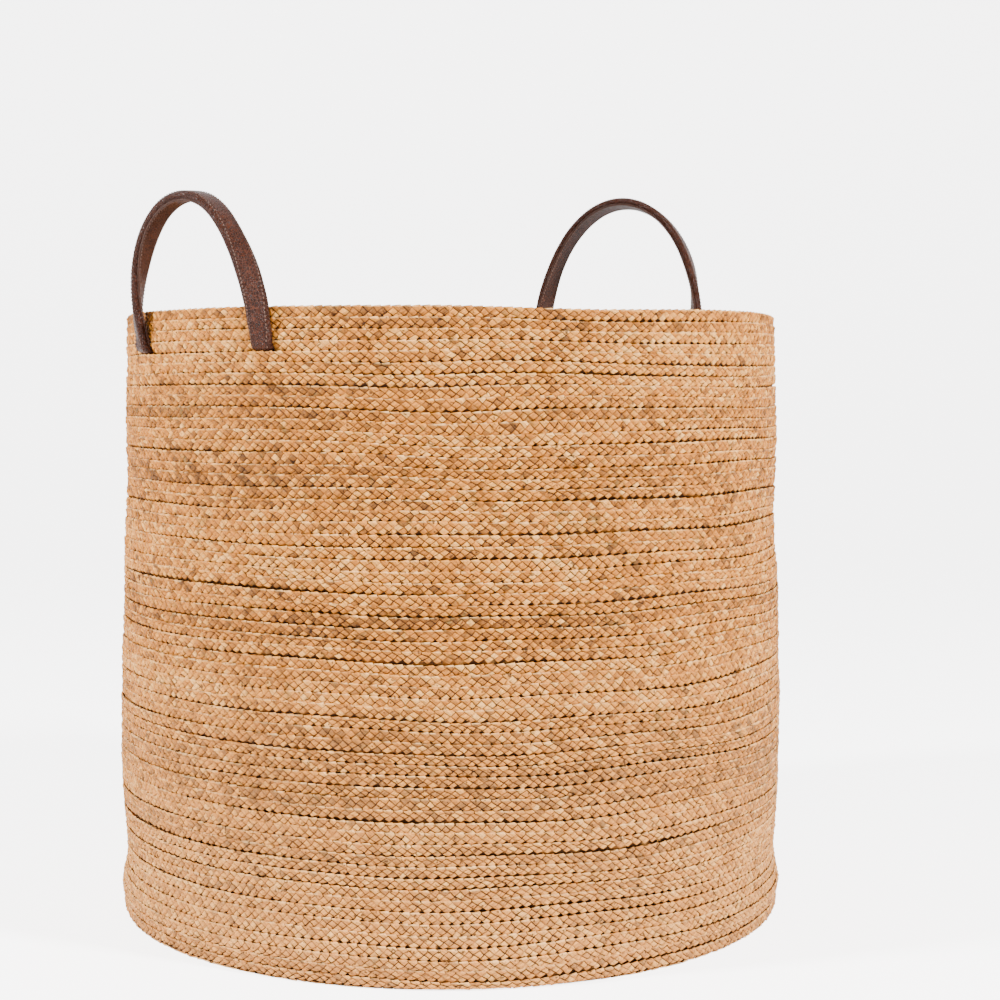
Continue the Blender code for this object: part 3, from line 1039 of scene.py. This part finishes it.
    def bake_map(
        self, along: np.ndarray, across: np.ndarray, inner: np.ndarray, period: np.ndarray,
        count: int,
    ) -> np.ndarray:
        """A flat layout of the plait: cut into equal lengths, stacked in rows in a unit square.

        Args:
            along: Millimetres along the plait from the piece's start, for each corner.
            across: Millimetres across it.
            inner: 1 where the corner's face lies on the inner sheet, else 0.
            period: The face's period, counted from the piece's start.
            count: How many periods the piece has.

        Returns:
            The layout's places, one for each corner.
        """
        step = self.period / MM
        low = self.across[0] * self.pitch / MM - 0.4
        band = (self.across[-1] - self.across[0]) * self.pitch / MM + 0.8
        rows = max(1, round(math.sqrt(count * step / (2 * band))))
        each = math.ceil(count / rows)
        row = period // each
        u = (along - row * each * step + 2 * step) / ((each + 4) * step)
        v = (across - low + band * inner + 2 * band * row) / (2 * band * rows)
        return np.stack([u, v], axis=1)

    def split(self) -> dict[str, tuple[int, int]]:
        """The stretches of plait that make each piece: two for the base and seven for the wall."""
        turned = np.interp(self.meridian.base_end / self.pitch + 0.35, self.turns, self.run)
        base = int(turned / self.period)
        pieces = {}
        for name, first, last, count in (("base", 1, base, 2), ("wall", base, self.count, 7)):
            marks = np.linspace(first, last, count + 1).astype(int).tolist()
            for k, stretch in enumerate(zip(marks, marks[1:]), start=1):
                pieces[f"{name}_coil_{k}"] = stretch
        return pieces

    def dress(self, material: bpy.types.Material) -> None:
        """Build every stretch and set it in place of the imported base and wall."""
        for name, (first, last) in self.split().items():
            piece = self.build(name, first, last, material)
            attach(piece, "basket")
            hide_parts("base_plait" if name.startswith("base") else "wall_plait")


# ------------------------------------------------------------------- handles


@dataclass(frozen=True)
class Layer:
    """One layer of the strap. Pairs give a value in the tail and one in the loop.

    Low and high are its faces' distances from the strap's middle, inset is how far
    its edges stand back, trim how much shorter it is at each end, crown how far its
    upper face stands up in the middle, and groove how deep its stitch lines are.
    """

    slot: str
    low: tuple[float, float]
    high: tuple[float, float]
    inset: float = 0.0
    trim: float = 0.0
    crown: float = 0.0
    groove: float = 0.0


LAYERS = {
    "face": Layer(
        "leather", low=(-0.9 * MM, -1.9 * MM), high=(1.8 * MM, 3.0 * MM),
        crown=0.45 * MM, groove=0.22 * MM),
    "lining": Layer(
        "lining", low=(-1.8 * MM, -3.2 * MM), high=(-0.65 * MM, -1.5 * MM),
        inset=1.1 * MM, trim=1.0 * MM),
    "core": Layer(
        "core", low=(-0.8 * MM, -1.6 * MM), high=(-0.45 * MM, -1.2 * MM),
        inset=1.5 * MM, trim=40 * MM),
}


@dataclass
class StrapHandle:
    """One leather strap: a loop above the rim, two legs, and two tails inside the wall."""

    side: Side
    rise: float
    half_angle: float
    shoulder: float
    roll: float
    width: float = 15.4 * MM
    thickness: float = 5.6 * MM
    tail_thickness: float = 3.6 * MM
    to_wall: float = 1.6 * MM
    lean: float = 9.5 * MM
    foot_turn: float = 8.0
    twist_length: float = 85 * MM
    wall_height: float = 0.426
    wall_thickness: float = 4.0 * MM
    slit_below_hinge: float = 1.68 * MM
    tail_slope: float = 18.0
    tail_drop: float = 48 * MM
    tail_bend: float = 4.0 * MM
    foot_bend: float = 2.9 * MM
    station: float = 1.1 * MM
    stitch_inset: float = 2.0 * MM
    stitch_pitch: float = 2.5 * MM
    stitch_length: float = 1.8 * MM
    thread_radius: float = 0.42 * MM
    thread_rings: int = 7
    thread_around: int = 6
    tip_corner: float = 2.2 * MM
    edge_noise: float = 0.30 * MM
    face_noise: float = 0.10 * MM
    tail_gap: float = 0.74 * MM
    blend_below: float = 2 * MM
    blend_above: float = 7 * MM
    seed: int = 31

    def __post_init__(self) -> None:
        """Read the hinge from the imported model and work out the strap's route."""
        joint = next(j for j in frame["joints"] if j["name"] == f"{self.side.value}_handle_fold")
        self.hinge = np.array(joint["pos_m"], float)
        axis = np.array(joint["axis"], float)
        self.out = np.cross(axis, [0.0, 0.0, 1.0])
        self.across = np.array([-self.out[1], self.out[0], 0.0])
        self.chord = float(np.hypot(*self.hinge[:2]))
        self.half_span = self.chord * math.tan(math.radians(self.half_angle))
        self.body = f"{self.side.value}_handle"
        self.route, self.face, self.wide = self._frames()
        steps = np.linalg.norm(np.diff(self.route, axis=0), axis=1)
        self.length = np.concatenate([[0.0], np.cumsum(steps)])
        self.low = self.route[:, 2]
        self.rng = np.random.default_rng(self.seed + (self.side is Side.RIGHT))

    def foot_line(self) -> np.ndarray:
        """The foot's route in the slit's plane, from the tail's end up to the leg.

        Each point is (out from the wall's face, up from the slit): straight up inside
        the wall, round a bend, up and out through the slit, round a second bend and up.
        """
        slope = math.radians(self.tail_slope)
        inside = -(self.wall_thickness + self.tail_gap + self.tail_thickness / 2)
        outside = self.to_wall + self.thickness / 2
        middle = np.array([-self.wall_thickness / 2, 0.0])
        turn = np.radians(np.linspace(180, 90 + self.tail_slope, 9))
        centre_x = inside + self.tail_bend
        bend_end = centre_x - self.tail_bend * math.sin(slope)
        centre_y = (bend_end - middle[0]) * math.tan(slope) - self.tail_bend * math.cos(slope)
        lower = np.stack([np.cos(turn), np.sin(turn)], axis=1) * self.tail_bend
        lower = lower + [centre_x, centre_y]
        start_x = outside - self.foot_bend * (1 - math.sin(slope))
        start_y = (start_x - middle[0]) * math.tan(slope)
        sweep = np.radians(np.linspace(self.tail_slope - 90, 0, 9))
        centre = np.array([outside - self.foot_bend, start_y + self.foot_bend * math.cos(slope)])
        upper = centre + np.stack([np.cos(sweep), np.sin(sweep)], axis=1) * self.foot_bend
        height = np.linspace(-self.tail_drop, centre_y, 20)
        tail = np.stack([np.full_like(height, inside), height], axis=1)
        return np.concatenate([tail[:-1], lower, upper])

    def _frames(self) -> tuple[np.ndarray, np.ndarray, np.ndarray]:
        """Places along the strap's middle with its face normal and its width direction.

        The loop is half an ellipse on two straight legs, made wider or narrower on its
        way up by the shoulder, and leaning out by a quarter sine wave. The face looks
        out of the wall at the feet and turns to look out of the loop higher up. The
        feet follow foot_line in the plane of their own slit.

        Returns:
            The places, the face normals and the width directions.
        """
        leg_top = self.wall_height - self.hinge[2]
        foot = self.foot_line()
        start = foot[-1, 1] - self.slit_below_hinge
        leg = np.linspace(start, leg_top, 12)[1:-1]
        arch = np.linspace(0, math.pi, 181)
        half = self.half_span * (1 + self.shoulder * np.abs(np.sin(2 * arch)))
        wide = np.full(len(leg), self.half_span)
        along = np.concatenate([-wide, -half * np.cos(arch), wide])
        up = np.concatenate([leg, leg_top + self.rise * np.sin(arch), leg[::-1]])
        share = np.clip((up - start) / (leg_top + self.rise - start), 0, 1)
        out = self.lean * np.sin(share * math.pi / 2) * smoothstep((up - start) / (14 * MM))
        loop = np.stack([out, along, up], axis=1)
        feet = []
        for end in (-1, 1):
            angle = math.radians(self.half_angle) * end
            radial = np.array([math.cos(angle), math.sin(angle), 0.0])
            origin = np.array([0.0, end * self.half_span, 0.0])
            line = origin + (foot[:, :1] - self.to_wall - self.thickness / 2) * radial
            line[:, 2] = foot[:, 1] - self.slit_below_hinge
            feet.append(line)
        line = np.concatenate([feet[0], loop, feet[1][::-1]])
        length = np.concatenate([[0.0], np.cumsum(np.linalg.norm(np.diff(line, axis=0), axis=1))])
        count = round(length[-1] / self.station)
        even = np.linspace(0, length[-1], count)
        line = np.stack([np.interp(even, length, line[:, k]) for k in range(3)], axis=1)
        line = self._soften(line, 1.0)
        tangent = unit(np.gradient(line, axis=0))
        from_foot = np.minimum(even, even[-1] - even) - length[len(foot) - 1]
        foot_turn = self.half_angle + self.foot_turn
        top_turn = 90 - self.roll
        turned = smoothstep(from_foot / self.twist_length)[:, None]
        turn = np.radians(foot_turn + (top_turn - foot_turn) * turned)
        side = np.where(np.arange(count) < count / 2, -1.0, 1.0)
        angle = np.radians(self.half_angle) * side
        foot_wide = np.stack([-np.sin(angle), np.cos(angle), np.zeros(count)], axis=1)
        foot_face = unit(np.cross(foot_wide, tangent)) * -side[:, None]
        steady = unit(np.array([1.0, 0.0, 0.0]) - tangent * tangent[:, :1])
        away = np.cross(steady, tangent)
        loop_face = steady * np.cos(turn) + away * np.sin(turn)
        face = np.where((from_foot < 4 * MM)[:, None], foot_face, loop_face)
        face = self._soften(face, 2.0)
        face = unit(face - tangent * (face * tangent).sum(axis=1, keepdims=True))
        wide = np.cross(tangent, face)
        axes = np.stack([self.out, self.across, [0.0, 0.0, 1.0]])
        return line @ axes + self.hinge, face @ axes, wide @ axes

    @staticmethod
    def _soften(values: np.ndarray, sigma: float) -> np.ndarray:
        """Smooth rows by a bell-shaped average over a few stations, with the ends held."""
        reach = int(3 * sigma) + 1
        weights = np.exp(-0.5 * (np.arange(-reach, reach + 1) / sigma) ** 2)
        weights /= weights.sum()
        padded = np.pad(values, ((reach, reach), (0, 0)), mode="reflect", reflect_type="odd")
        columns = [np.convolve(column, weights, mode="valid") for column in padded.T]
        return np.stack(columns, axis=1)

    def full(self) -> np.ndarray:
        """1 where the strap has its full thickness, 0 where it is a tail, for each station."""
        return smoothstep((self.low - (self.hinge[2] - 3 * MM)) / (5 * MM))

    @staticmethod
    def section() -> tuple[np.ndarray, np.ndarray, np.ndarray]:
        """The strap's section: a rounded bar, two faces joined by half-round edges.

        Returns:
            For each point, its place across as (share of the flat half width, share
            of the edge's radius), its height as a share of that radius, and how near
            it is to an edge.
        """
        place = np.linspace(-1, 1, 15)
        flat = (np.sin(place * math.pi / 2) + place) / 2
        bend = np.radians(np.linspace(-60, 60, 4))
        none, level, edge = np.zeros(15), np.ones(15), np.ones(4)
        across = np.concatenate([
            np.stack([flat, none], axis=1),
            np.stack([edge, np.cos(bend)[::-1]], axis=1),
            np.stack([flat[::-1], none], axis=1),
            np.stack([-edge, -np.cos(bend)], axis=1),
        ])
        height = np.concatenate([level, np.sin(bend)[::-1], -level, np.sin(bend)])
        near = np.concatenate([np.abs(flat) ** 6, edge, np.abs(flat[::-1]) ** 6, edge])
        return across, height, near

    def surface(
        self, low: np.ndarray, high: np.ndarray, half: np.ndarray, crown: float, groove: float
    ) -> tuple[np.ndarray, np.ndarray, np.ndarray]:
        """A layer of the strap as rings of points.

        The outer face is crowned by a parabola across the width, and both stitch
        lines are pressed in by a narrow bell.

        Args:
            low: Lower face's distance from the strap's middle, for each station.
            high: Upper face's distance.
            half: Half the width, for each station.
            crown: How far the upper face stands up in the middle.
            groove: How deep the stitch lines are pressed in.

        Returns:
            The points (stations, around, 3), and arrays of each point's edge share
            and its distance across the strap.
        """
        across, height, near = self.section()
        half = half[:, None]
        radius = (high - low)[:, None] / 2
        w = across[:, 0] * (half - radius) + across[:, 1] * radius
        n = (high + low)[:, None] / 2 + height * radius
        top = height > 0.95
        stitch = np.exp(-(((np.abs(w) - (half - self.stitch_inset)) / (0.55 * MM)) ** 2))
        n = n + top * (crown * (1 - (w / half) ** 2) - groove * stitch)
        stations = len(self.route)
        n = n + self._uneven(stations, len(height)) * np.sign(height) * self.face_noise
        w = w + self._soften(self.rng.normal(0, 1, (stations, 1)), 6.0) * self.edge_noise
        points = self.route[:, None] + self.wide[:, None] * w[..., None]
        points = points + self.face[:, None] * n[..., None]
        return points, np.broadcast_to(near, w.shape), w

    def _uneven(self, rows: int, columns: int) -> np.ndarray:
        """Soft random unevenness over a grid, smoothed along and across."""
        noise = self._soften(self.rng.normal(0, 1, (rows, columns)), 3.0)
        return self._soften(noise.T, 2.0).T * 3

    def layer(self, name: str, layer: Layer, material: bpy.types.Material) -> bpy.types.Object:
        """Build one layer of leather along the whole strap.

        Args:
            name: The piece's name.
            layer: The layer.
            material: Its finish.

        Returns:
            The new piece.
        """
        full = self.full()
        low, high = (tail + (loop - tail) * full for tail, loop in (layer.low, layer.high))
        end = np.minimum(self.length, self.length[-1] - self.length) - layer.trim
        corner = self.tip_corner
        cut = np.clip(corner - end, 0, corner)
        half = self.width / 2 - layer.inset - (corner - np.sqrt(corner**2 - cut**2))
        points, edge, w = self.surface(low, high, half, layer.crown, layer.groove)
        keep = end > 0
        points, edge, w = points[keep], edge[keep], w[keep]
        rings, around = points.shape[:2]
        tips = points[[0, -1]].mean(axis=1)
        corners, sizes = tube_faces(rings, around)
        mesh = mesh_from_arrays(name, np.concatenate([points.reshape(-1, 3), tips]), corners, sizes)
        self._flip_if_inside_out(mesh)
        set_values(mesh, "edge", "POINT", np.concatenate([edge.ravel(), [1.0, 1.0]]))
        along = np.repeat(self.length[keep] / MM, around)
        strap = np.stack([along, w.ravel() / MM + np.tile(np.arange(around), rings) * 0.02], axis=1)
        strap = np.concatenate([strap, strap[[0, -1]]])
        order = np.empty(len(mesh.loops), np.int32)
        mesh.loops.foreach_get("vertex_index", order)
        set_map(mesh, "strap", strap[order])
        return add_piece(name, mesh, material)

    @staticmethod
    def _flip_if_inside_out(mesh: bpy.types.Mesh) -> None:
        """Turn the faces round when the closed mesh's signed volume is negative."""
        points = vertex_places(mesh)
        mesh.calc_loop_triangles()
        triangles = np.empty(len(mesh.loop_triangles) * 3, np.int32)
        mesh.loop_triangles.foreach_get("vertices", triangles)
        a, b, c = (points[triangles[k::3]] for k in range(3))
        if float((a * np.cross(b, c)).sum()) < 0:
            mesh.flip_normals()

    def stitches(
        self, name: str, middles: np.ndarray, along: np.ndarray, up: np.ndarray,
        material: bpy.types.Material,
    ) -> bpy.types.Object:
        """Build a row of separate stitches.

        Each is a short thread whose middle stands up and whose ends dive into the
        leather: its height is a cosine of the place along it, and its radius a
        flattened half-round.

        Args:
            name: The piece's name.
            middles: Each stitch's middle.
            along: Each stitch's direction.
            up: The surface's normal at each stitch.
            material: The thread's finish.

        Returns:
            The new piece.
        """
        rings, sides, count = self.thread_rings, self.thread_around, len(middles)
        place = np.linspace(-1, 1, rings)
        around = np.arange(sides) / sides * FULL_TURN
        radius = self.thread_radius * np.sqrt(np.maximum(1 - place**4, 0.12))
        rise = self.thread_radius * (1.1 * np.cos(place * math.pi / 2) - 0.75)
        side = np.cross(along, up)
        around = around[:, None, None]
        ring = np.cos(around) * side + 0.85 * np.sin(around) * up
        reach = place[:, None, None] * self.stitch_length / 2
        spine = middles + along * reach + up * rise[:, None, None]
        points = spine[:, None] + ring[None] * radius[:, None, None, None]
        points = points.transpose(2, 0, 1, 3)
        tips = spine[[0, -1]].transpose(1, 0, 2)
        each = rings * sides + 2
        corners, sizes = tube_faces(rings, sides)
        vertices = np.concatenate([points.reshape(count, -1, 3), tips], axis=1).reshape(-1, 3)
        flat = (np.arange(count)[:, None] * each + corners).ravel()
        mesh = mesh_from_arrays(name, vertices, flat, np.tile(sizes, count))
        self._flip_if_inside_out(mesh)
        place = np.stack([corners % sides, corners // sides], axis=1)
        set_map(mesh, "strap", np.tile(place, (count, 1)))
        return add_piece(name, mesh, material)

    def edge_stitches(self, name: str, sign: int, material: bpy.types.Material) -> bpy.types.Object:
        """The stitches along both edges of the outer face for sign 1, or the lining for -1."""
        inside = np.minimum(self.length, self.length[-1] - self.length)
        foot = slice(len(self.low) // 4)
        first = float(np.interp(self.hinge[2] + 1.0 * MM, self.low[foot], inside[foot]))
        count = int((self.length[-1] - 2 * first) / self.stitch_pitch)
        at = np.linspace(first, self.length[-1] - first, count)
        middles, directions, ups = [], [], []
        tangent = unit(np.gradient(self.route, axis=0))
        for edge in (-1, 1):
            shift = at + self.rng.normal(0, 0.10 * MM, count)
            place, face, wide, ahead = (
                np.stack([np.interp(shift, self.length, rows[:, k]) for k in range(3)], axis=1)
                for rows in (self.route, self.face, self.wide, tangent)
            )
            stand = self.thickness / 2 + (0.22 if sign > 0 else 0.38) * MM
            off = edge * (self.width / 2 - self.stitch_inset - (0.0 if sign > 0 else 0.4 * MM))
            middles.append(place + face * sign * stand + wide * off)
            directions.append(unit(ahead + wide * self.rng.normal(0.05, 0.04, (count, 1))))
            ups.append(unit(face) * sign)
        return self.stitches(name, *map(np.concatenate, (middles, directions, ups)), material)

    def tail_stitches(self, name: str, end: int, material: bpy.types.Material) -> bpy.types.Object:
        """The box of stitches that holds one tail to the wall, on the tail's inner face."""
        station = 2 if end < 0 else len(self.route) - 3
        bottom, face, wide = self.route[station], self.face[station], self.wide[station]
        up = np.array([0.0, 0.0, 1.0])
        half = self.width / 2 - 2.6 * MM
        low, high = 1.4 * MM, 34 * MM
        middles, directions = [], []
        box = [(-half, low), (half, low), (half, high), (-half, high)]
        runs = list(zip(box, box[1:] + box[:1])) + [(box[0], box[2]), (box[1], box[3])]
        for (w0, z0), (w1, z1) in runs:
            reach = math.hypot(w1 - w0, z1 - z0)
            count = max(2, round(reach / self.stitch_pitch))
            share = (np.arange(count) + 0.5)[:, None] / count
            start = bottom + wide * w0 + up * z0
            finish = bottom + wide * w1 + up * z1
            middles.append(start + (finish - start) * share)
            directions.append(np.repeat(unit(finish - start)[None], count, axis=0))
        middles = np.concatenate(middles) - face * (self.tail_thickness / 2)
        ups = np.broadcast_to(-face, middles.shape)
        return self.stitches(name, middles, np.concatenate(directions), ups, material)

    def dress(self, finishes: dict[str, bpy.types.Material]) -> None:
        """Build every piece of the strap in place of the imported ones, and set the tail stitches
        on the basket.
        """
        side = self.side.value
        outer, lining, core = (
            self.layer(f"{side}_handle_{name}", layer, finishes[layer.slot])
            for name, layer in LAYERS.items()
        )
        thread = finishes["thread"]
        front = self.edge_stitches(f"{side}_handle_front_stitches", 1, thread)
        back = self.edge_stitches(f"{side}_handle_back_stitches", -1, thread)
        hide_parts(f"{side}_strap_outer", f"{side}_tail_a", f"{side}_tail_b")
        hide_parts(f"{side}_strap_lining")
        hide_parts(f"{side}_strap_core")
        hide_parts(f"{side}_front_stitches")
        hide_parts(f"{side}_back_stitches")
        slots = {outer: "leather", lining: "lining", core: "core", front: "thread", back: "thread"}
        for piece, slot in slots.items():
            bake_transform(piece)
        for label, sign in (("a", -1), ("b", 1)):
            sewn = self.tail_stitches(f"{side}_tail_{label}_box_stitches", sign, thread)
            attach(sewn, "basket")
            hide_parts(f"{side}_tail_{label}_stitching")


# --------------------------------------------------------------------- studio


@dataclass(frozen=True)
class Lamp:
    """A square light, turned by degrees from the camera's direction about the basket's axis."""

    name: str
    turn: float
    distance: float
    height: float
    size: float
    watts: float
    aim_height: float = 0.25


LAMPS = (
    Lamp("left", turn=-68.0, distance=2.3, height=2.0, size=0.28, watts=165.0),
    Lamp("right", turn=56.0, distance=2.3, height=2.0, size=0.28, watts=190.0),
    Lamp("front", turn=-8.0, distance=2.8, height=0.8, size=1.4, watts=26.0),
)


@dataclass
class Studio:
    """The pale floor, the soft lights and the camera."""

    camera_angle: float = 221.2
    camera_distance: float = 1.373
    camera_height: float = 0.3731
    yaw: float = 1.48
    pitch: float = 3.38
    roll: float = 0.14
    lens: float = 66.7
    sensor_width: float = 36.0
    floor_front: float = 6.0
    floor_back: float = 2.6
    floor_side: float = 9.0
    floor_top: float = 6.0
    floor_bend: float = 1.2
    floor_glow: float = 0.60
    floor_shown: float = 4.4
    room: tuple = (0.93, 0.95, 1.0, 1.0)
    room_strength: float = 0.14

    def floor(self) -> None:
        """A wide pale floor with a curved rise at the back."""
        facing = math.radians(self.camera_angle)
        back = -np.array([math.cos(facing), math.sin(facing), 0.0])
        side = np.array([-back[1], back[0], 0.0])
        bend = np.radians(np.linspace(-90, 0, 17))
        curve = self.floor_back + self.floor_bend * np.cos(bend)
        run = np.concatenate([[-self.floor_front], curve, curve[-1:]])
        rise = np.concatenate([[0.0], self.floor_bend * (1 + np.sin(bend)), [self.floor_top]])
        rows = back * run[:, None] + np.array([0, 0, 1.0]) * rise[:, None]
        side = side * self.floor_side
        points = np.stack([rows - side, rows + side], axis=1).reshape(-1, 3)
        k = np.arange(len(rows) - 1) * 2
        corners = np.stack([k, k + 2, k + 3, k + 1], axis=1).ravel()
        mesh = mesh_from_arrays("studio_floor", points, corners, np.full(len(k), 4))
        mesh.flip_normals()
        made, w = new_material("pale studio paper")
        fleck = w.noise(w.places(), 3.0)
        colour = w.mix(fleck, (0.86, 0.86, 0.87), (0.89, 0.89, 0.895))
        shader = w.node("ShaderNodeBsdfPrincipled", {"Base Color": colour, "Roughness": 0.9})
        shader.inputs["Emission Color"].default_value = (1.0, 0.985, 0.98, 1.0)
        seen = w.node("ShaderNodeLightPath").outputs["Is Camera Ray"]
        glow = w.remap(seen, 0.0, 1.0, self.floor_glow, self.floor_shown)
        w.tree.links.new(glow, shader.inputs["Emission Strength"])
        w.node("ShaderNodeOutputMaterial", {0: shader.outputs[0]})
        add_piece("studio_floor", mesh, made)

    def place(
        self, name: str, data: bpy.types.ID, turn: float, away: float, height: float
    ) -> bpy.types.Object:
        """Put a light or a camera into the scene.

        Args:
            name: The object's name.
            data: The light or the camera.
            turn: Degrees from the camera's direction, about the basket's axis.
            away: Distance from the basket's axis.
            height: Its height.

        Returns:
            The new object.
        """
        made = bpy.data.objects.new(name, data)
        bpy.context.scene.collection.objects.link(made)
        angle = math.radians(self.camera_angle + turn)
        made.location = (away * math.cos(angle), away * math.sin(angle), height)
        made.rotation_mode = "QUATERNION"
        return made

    def lights(self) -> None:
        """A small light from either side, a weak wide one from the front and a pale room."""
        for lamp in LAMPS:
            data = bpy.data.lights.new(lamp.name, "AREA")
            data.size = lamp.size
            data.energy = lamp.watts
            made = self.place(lamp.name, data, lamp.turn, lamp.distance, lamp.height)
            ahead = Vector((0, 0, lamp.aim_height)) - made.location
            made.rotation_quaternion = ahead.to_track_quat("-Z", "Y")
        world = bpy.data.worlds.new("pale room")
        world.use_nodes = True
        background = world.node_tree.nodes["Background"]
        background.inputs["Color"].default_value = self.room
        background.inputs["Strength"].default_value = self.room_strength
        bpy.context.scene.world = world

    def camera(self) -> None:
        """The camera, a little over the basket's middle height and looking slightly down."""
        data = bpy.data.cameras.new("camera")
        data.lens = self.lens
        data.sensor_width = self.sensor_width
        camera = self.place("camera", data, 0.0, self.camera_distance, self.camera_height)
        yaw, pitch = math.radians(self.yaw), math.radians(self.pitch)
        flat = math.cos(pitch)
        ahead = Vector((math.sin(yaw) * flat, math.cos(yaw) * flat, -math.sin(pitch)))
        facing = math.radians(self.camera_angle + 90)
        ahead.rotate(Matrix.Rotation(facing, 3, "Z"))
        look = ahead.to_track_quat("-Z", "Y") @ Quaternion((0, 0, 1), math.radians(self.roll))
        camera.rotation_quaternion = look
        bpy.context.scene.camera = camera

    def build(self) -> None:
        """Make the whole studio."""
        self.floor()
        self.lights()
        self.camera()


FINISHES = {
    "leather": HideFinish(
        "dark strap leather",
        dark=(0.0050, 0.0016, 0.0009), light=(0.033, 0.0090, 0.0042),
        vein=(0.125, 0.0330, 0.0140), rubbed_and_sheen=(0.030, 0.0092, 0.0048),
        roughness=0.27, grain_scale=560.0, grain_depth=0.90 * MM, specular=0.15),
    "lining": HideFinish(
        "strap lining",
        dark=(0.0080, 0.0032, 0.0020), light=(0.052, 0.0190, 0.0105),
        vein=(0.110, 0.036, 0.018), rubbed_and_sheen=(0.040, 0.016, 0.009),
        roughness=0.40, grain_scale=600.0, grain_depth=0.60 * MM, specular=0.22),
    "core": HideFinish(
        "strap core board",
        dark=(0.040, 0.020, 0.012), light=(0.11, 0.062, 0.040),
        vein=(0.10, 0.055, 0.035), rubbed_and_sheen=(0.12, 0.075, 0.05),
        roughness=0.8, grain_scale=1900.0, grain_depth=0.20 * MM, specular=0.2),
    "thread": ThreadFinish(
        "waxed thread", dark=(0.045, 0.017, 0.010), light=(0.18, 0.085, 0.052)),
}


def main() -> None:
    """Build the studio, the plait and both handles."""
    logging.basicConfig(level=logging.INFO, format="%(name)s: %(message)s")
    Studio().build()
    effects = SharedEffects()
    handles = [
        StrapHandle(Side.LEFT, rise=71.5 * MM, half_angle=15.4, shoulder=-0.08, roll=3.0),
        StrapHandle(Side.RIGHT, rise=103.5 * MM, half_angle=18.4, shoulder=0.0, roll=14.0),
    ]
    slits = []
    for handle in handles:
        middle = math.atan2(handle.out[1], handle.out[0])
        reach = math.radians(handle.half_angle)
        slits.append((middle - reach, middle + reach))
    meridian = Meridian("wall_plait", corner_radius=3.2 * MM, beyond=12 * MM)
    seam = meridian.rim_height - 4 * PlaitCoil.pitch
    coil = PlaitCoil(meridian, tuple(slits), seam)
    coil.dress(LeafFinish().build(effects))
    finishes = {name: finish.build(effects) for name, finish in FINISHES.items()}
    for handle in handles:
        handle.dress(finishes)
    log.info("plait: %.1f m, %d periods", coil.run[-1], coil.count)


if __name__ == "__main__":
    main()
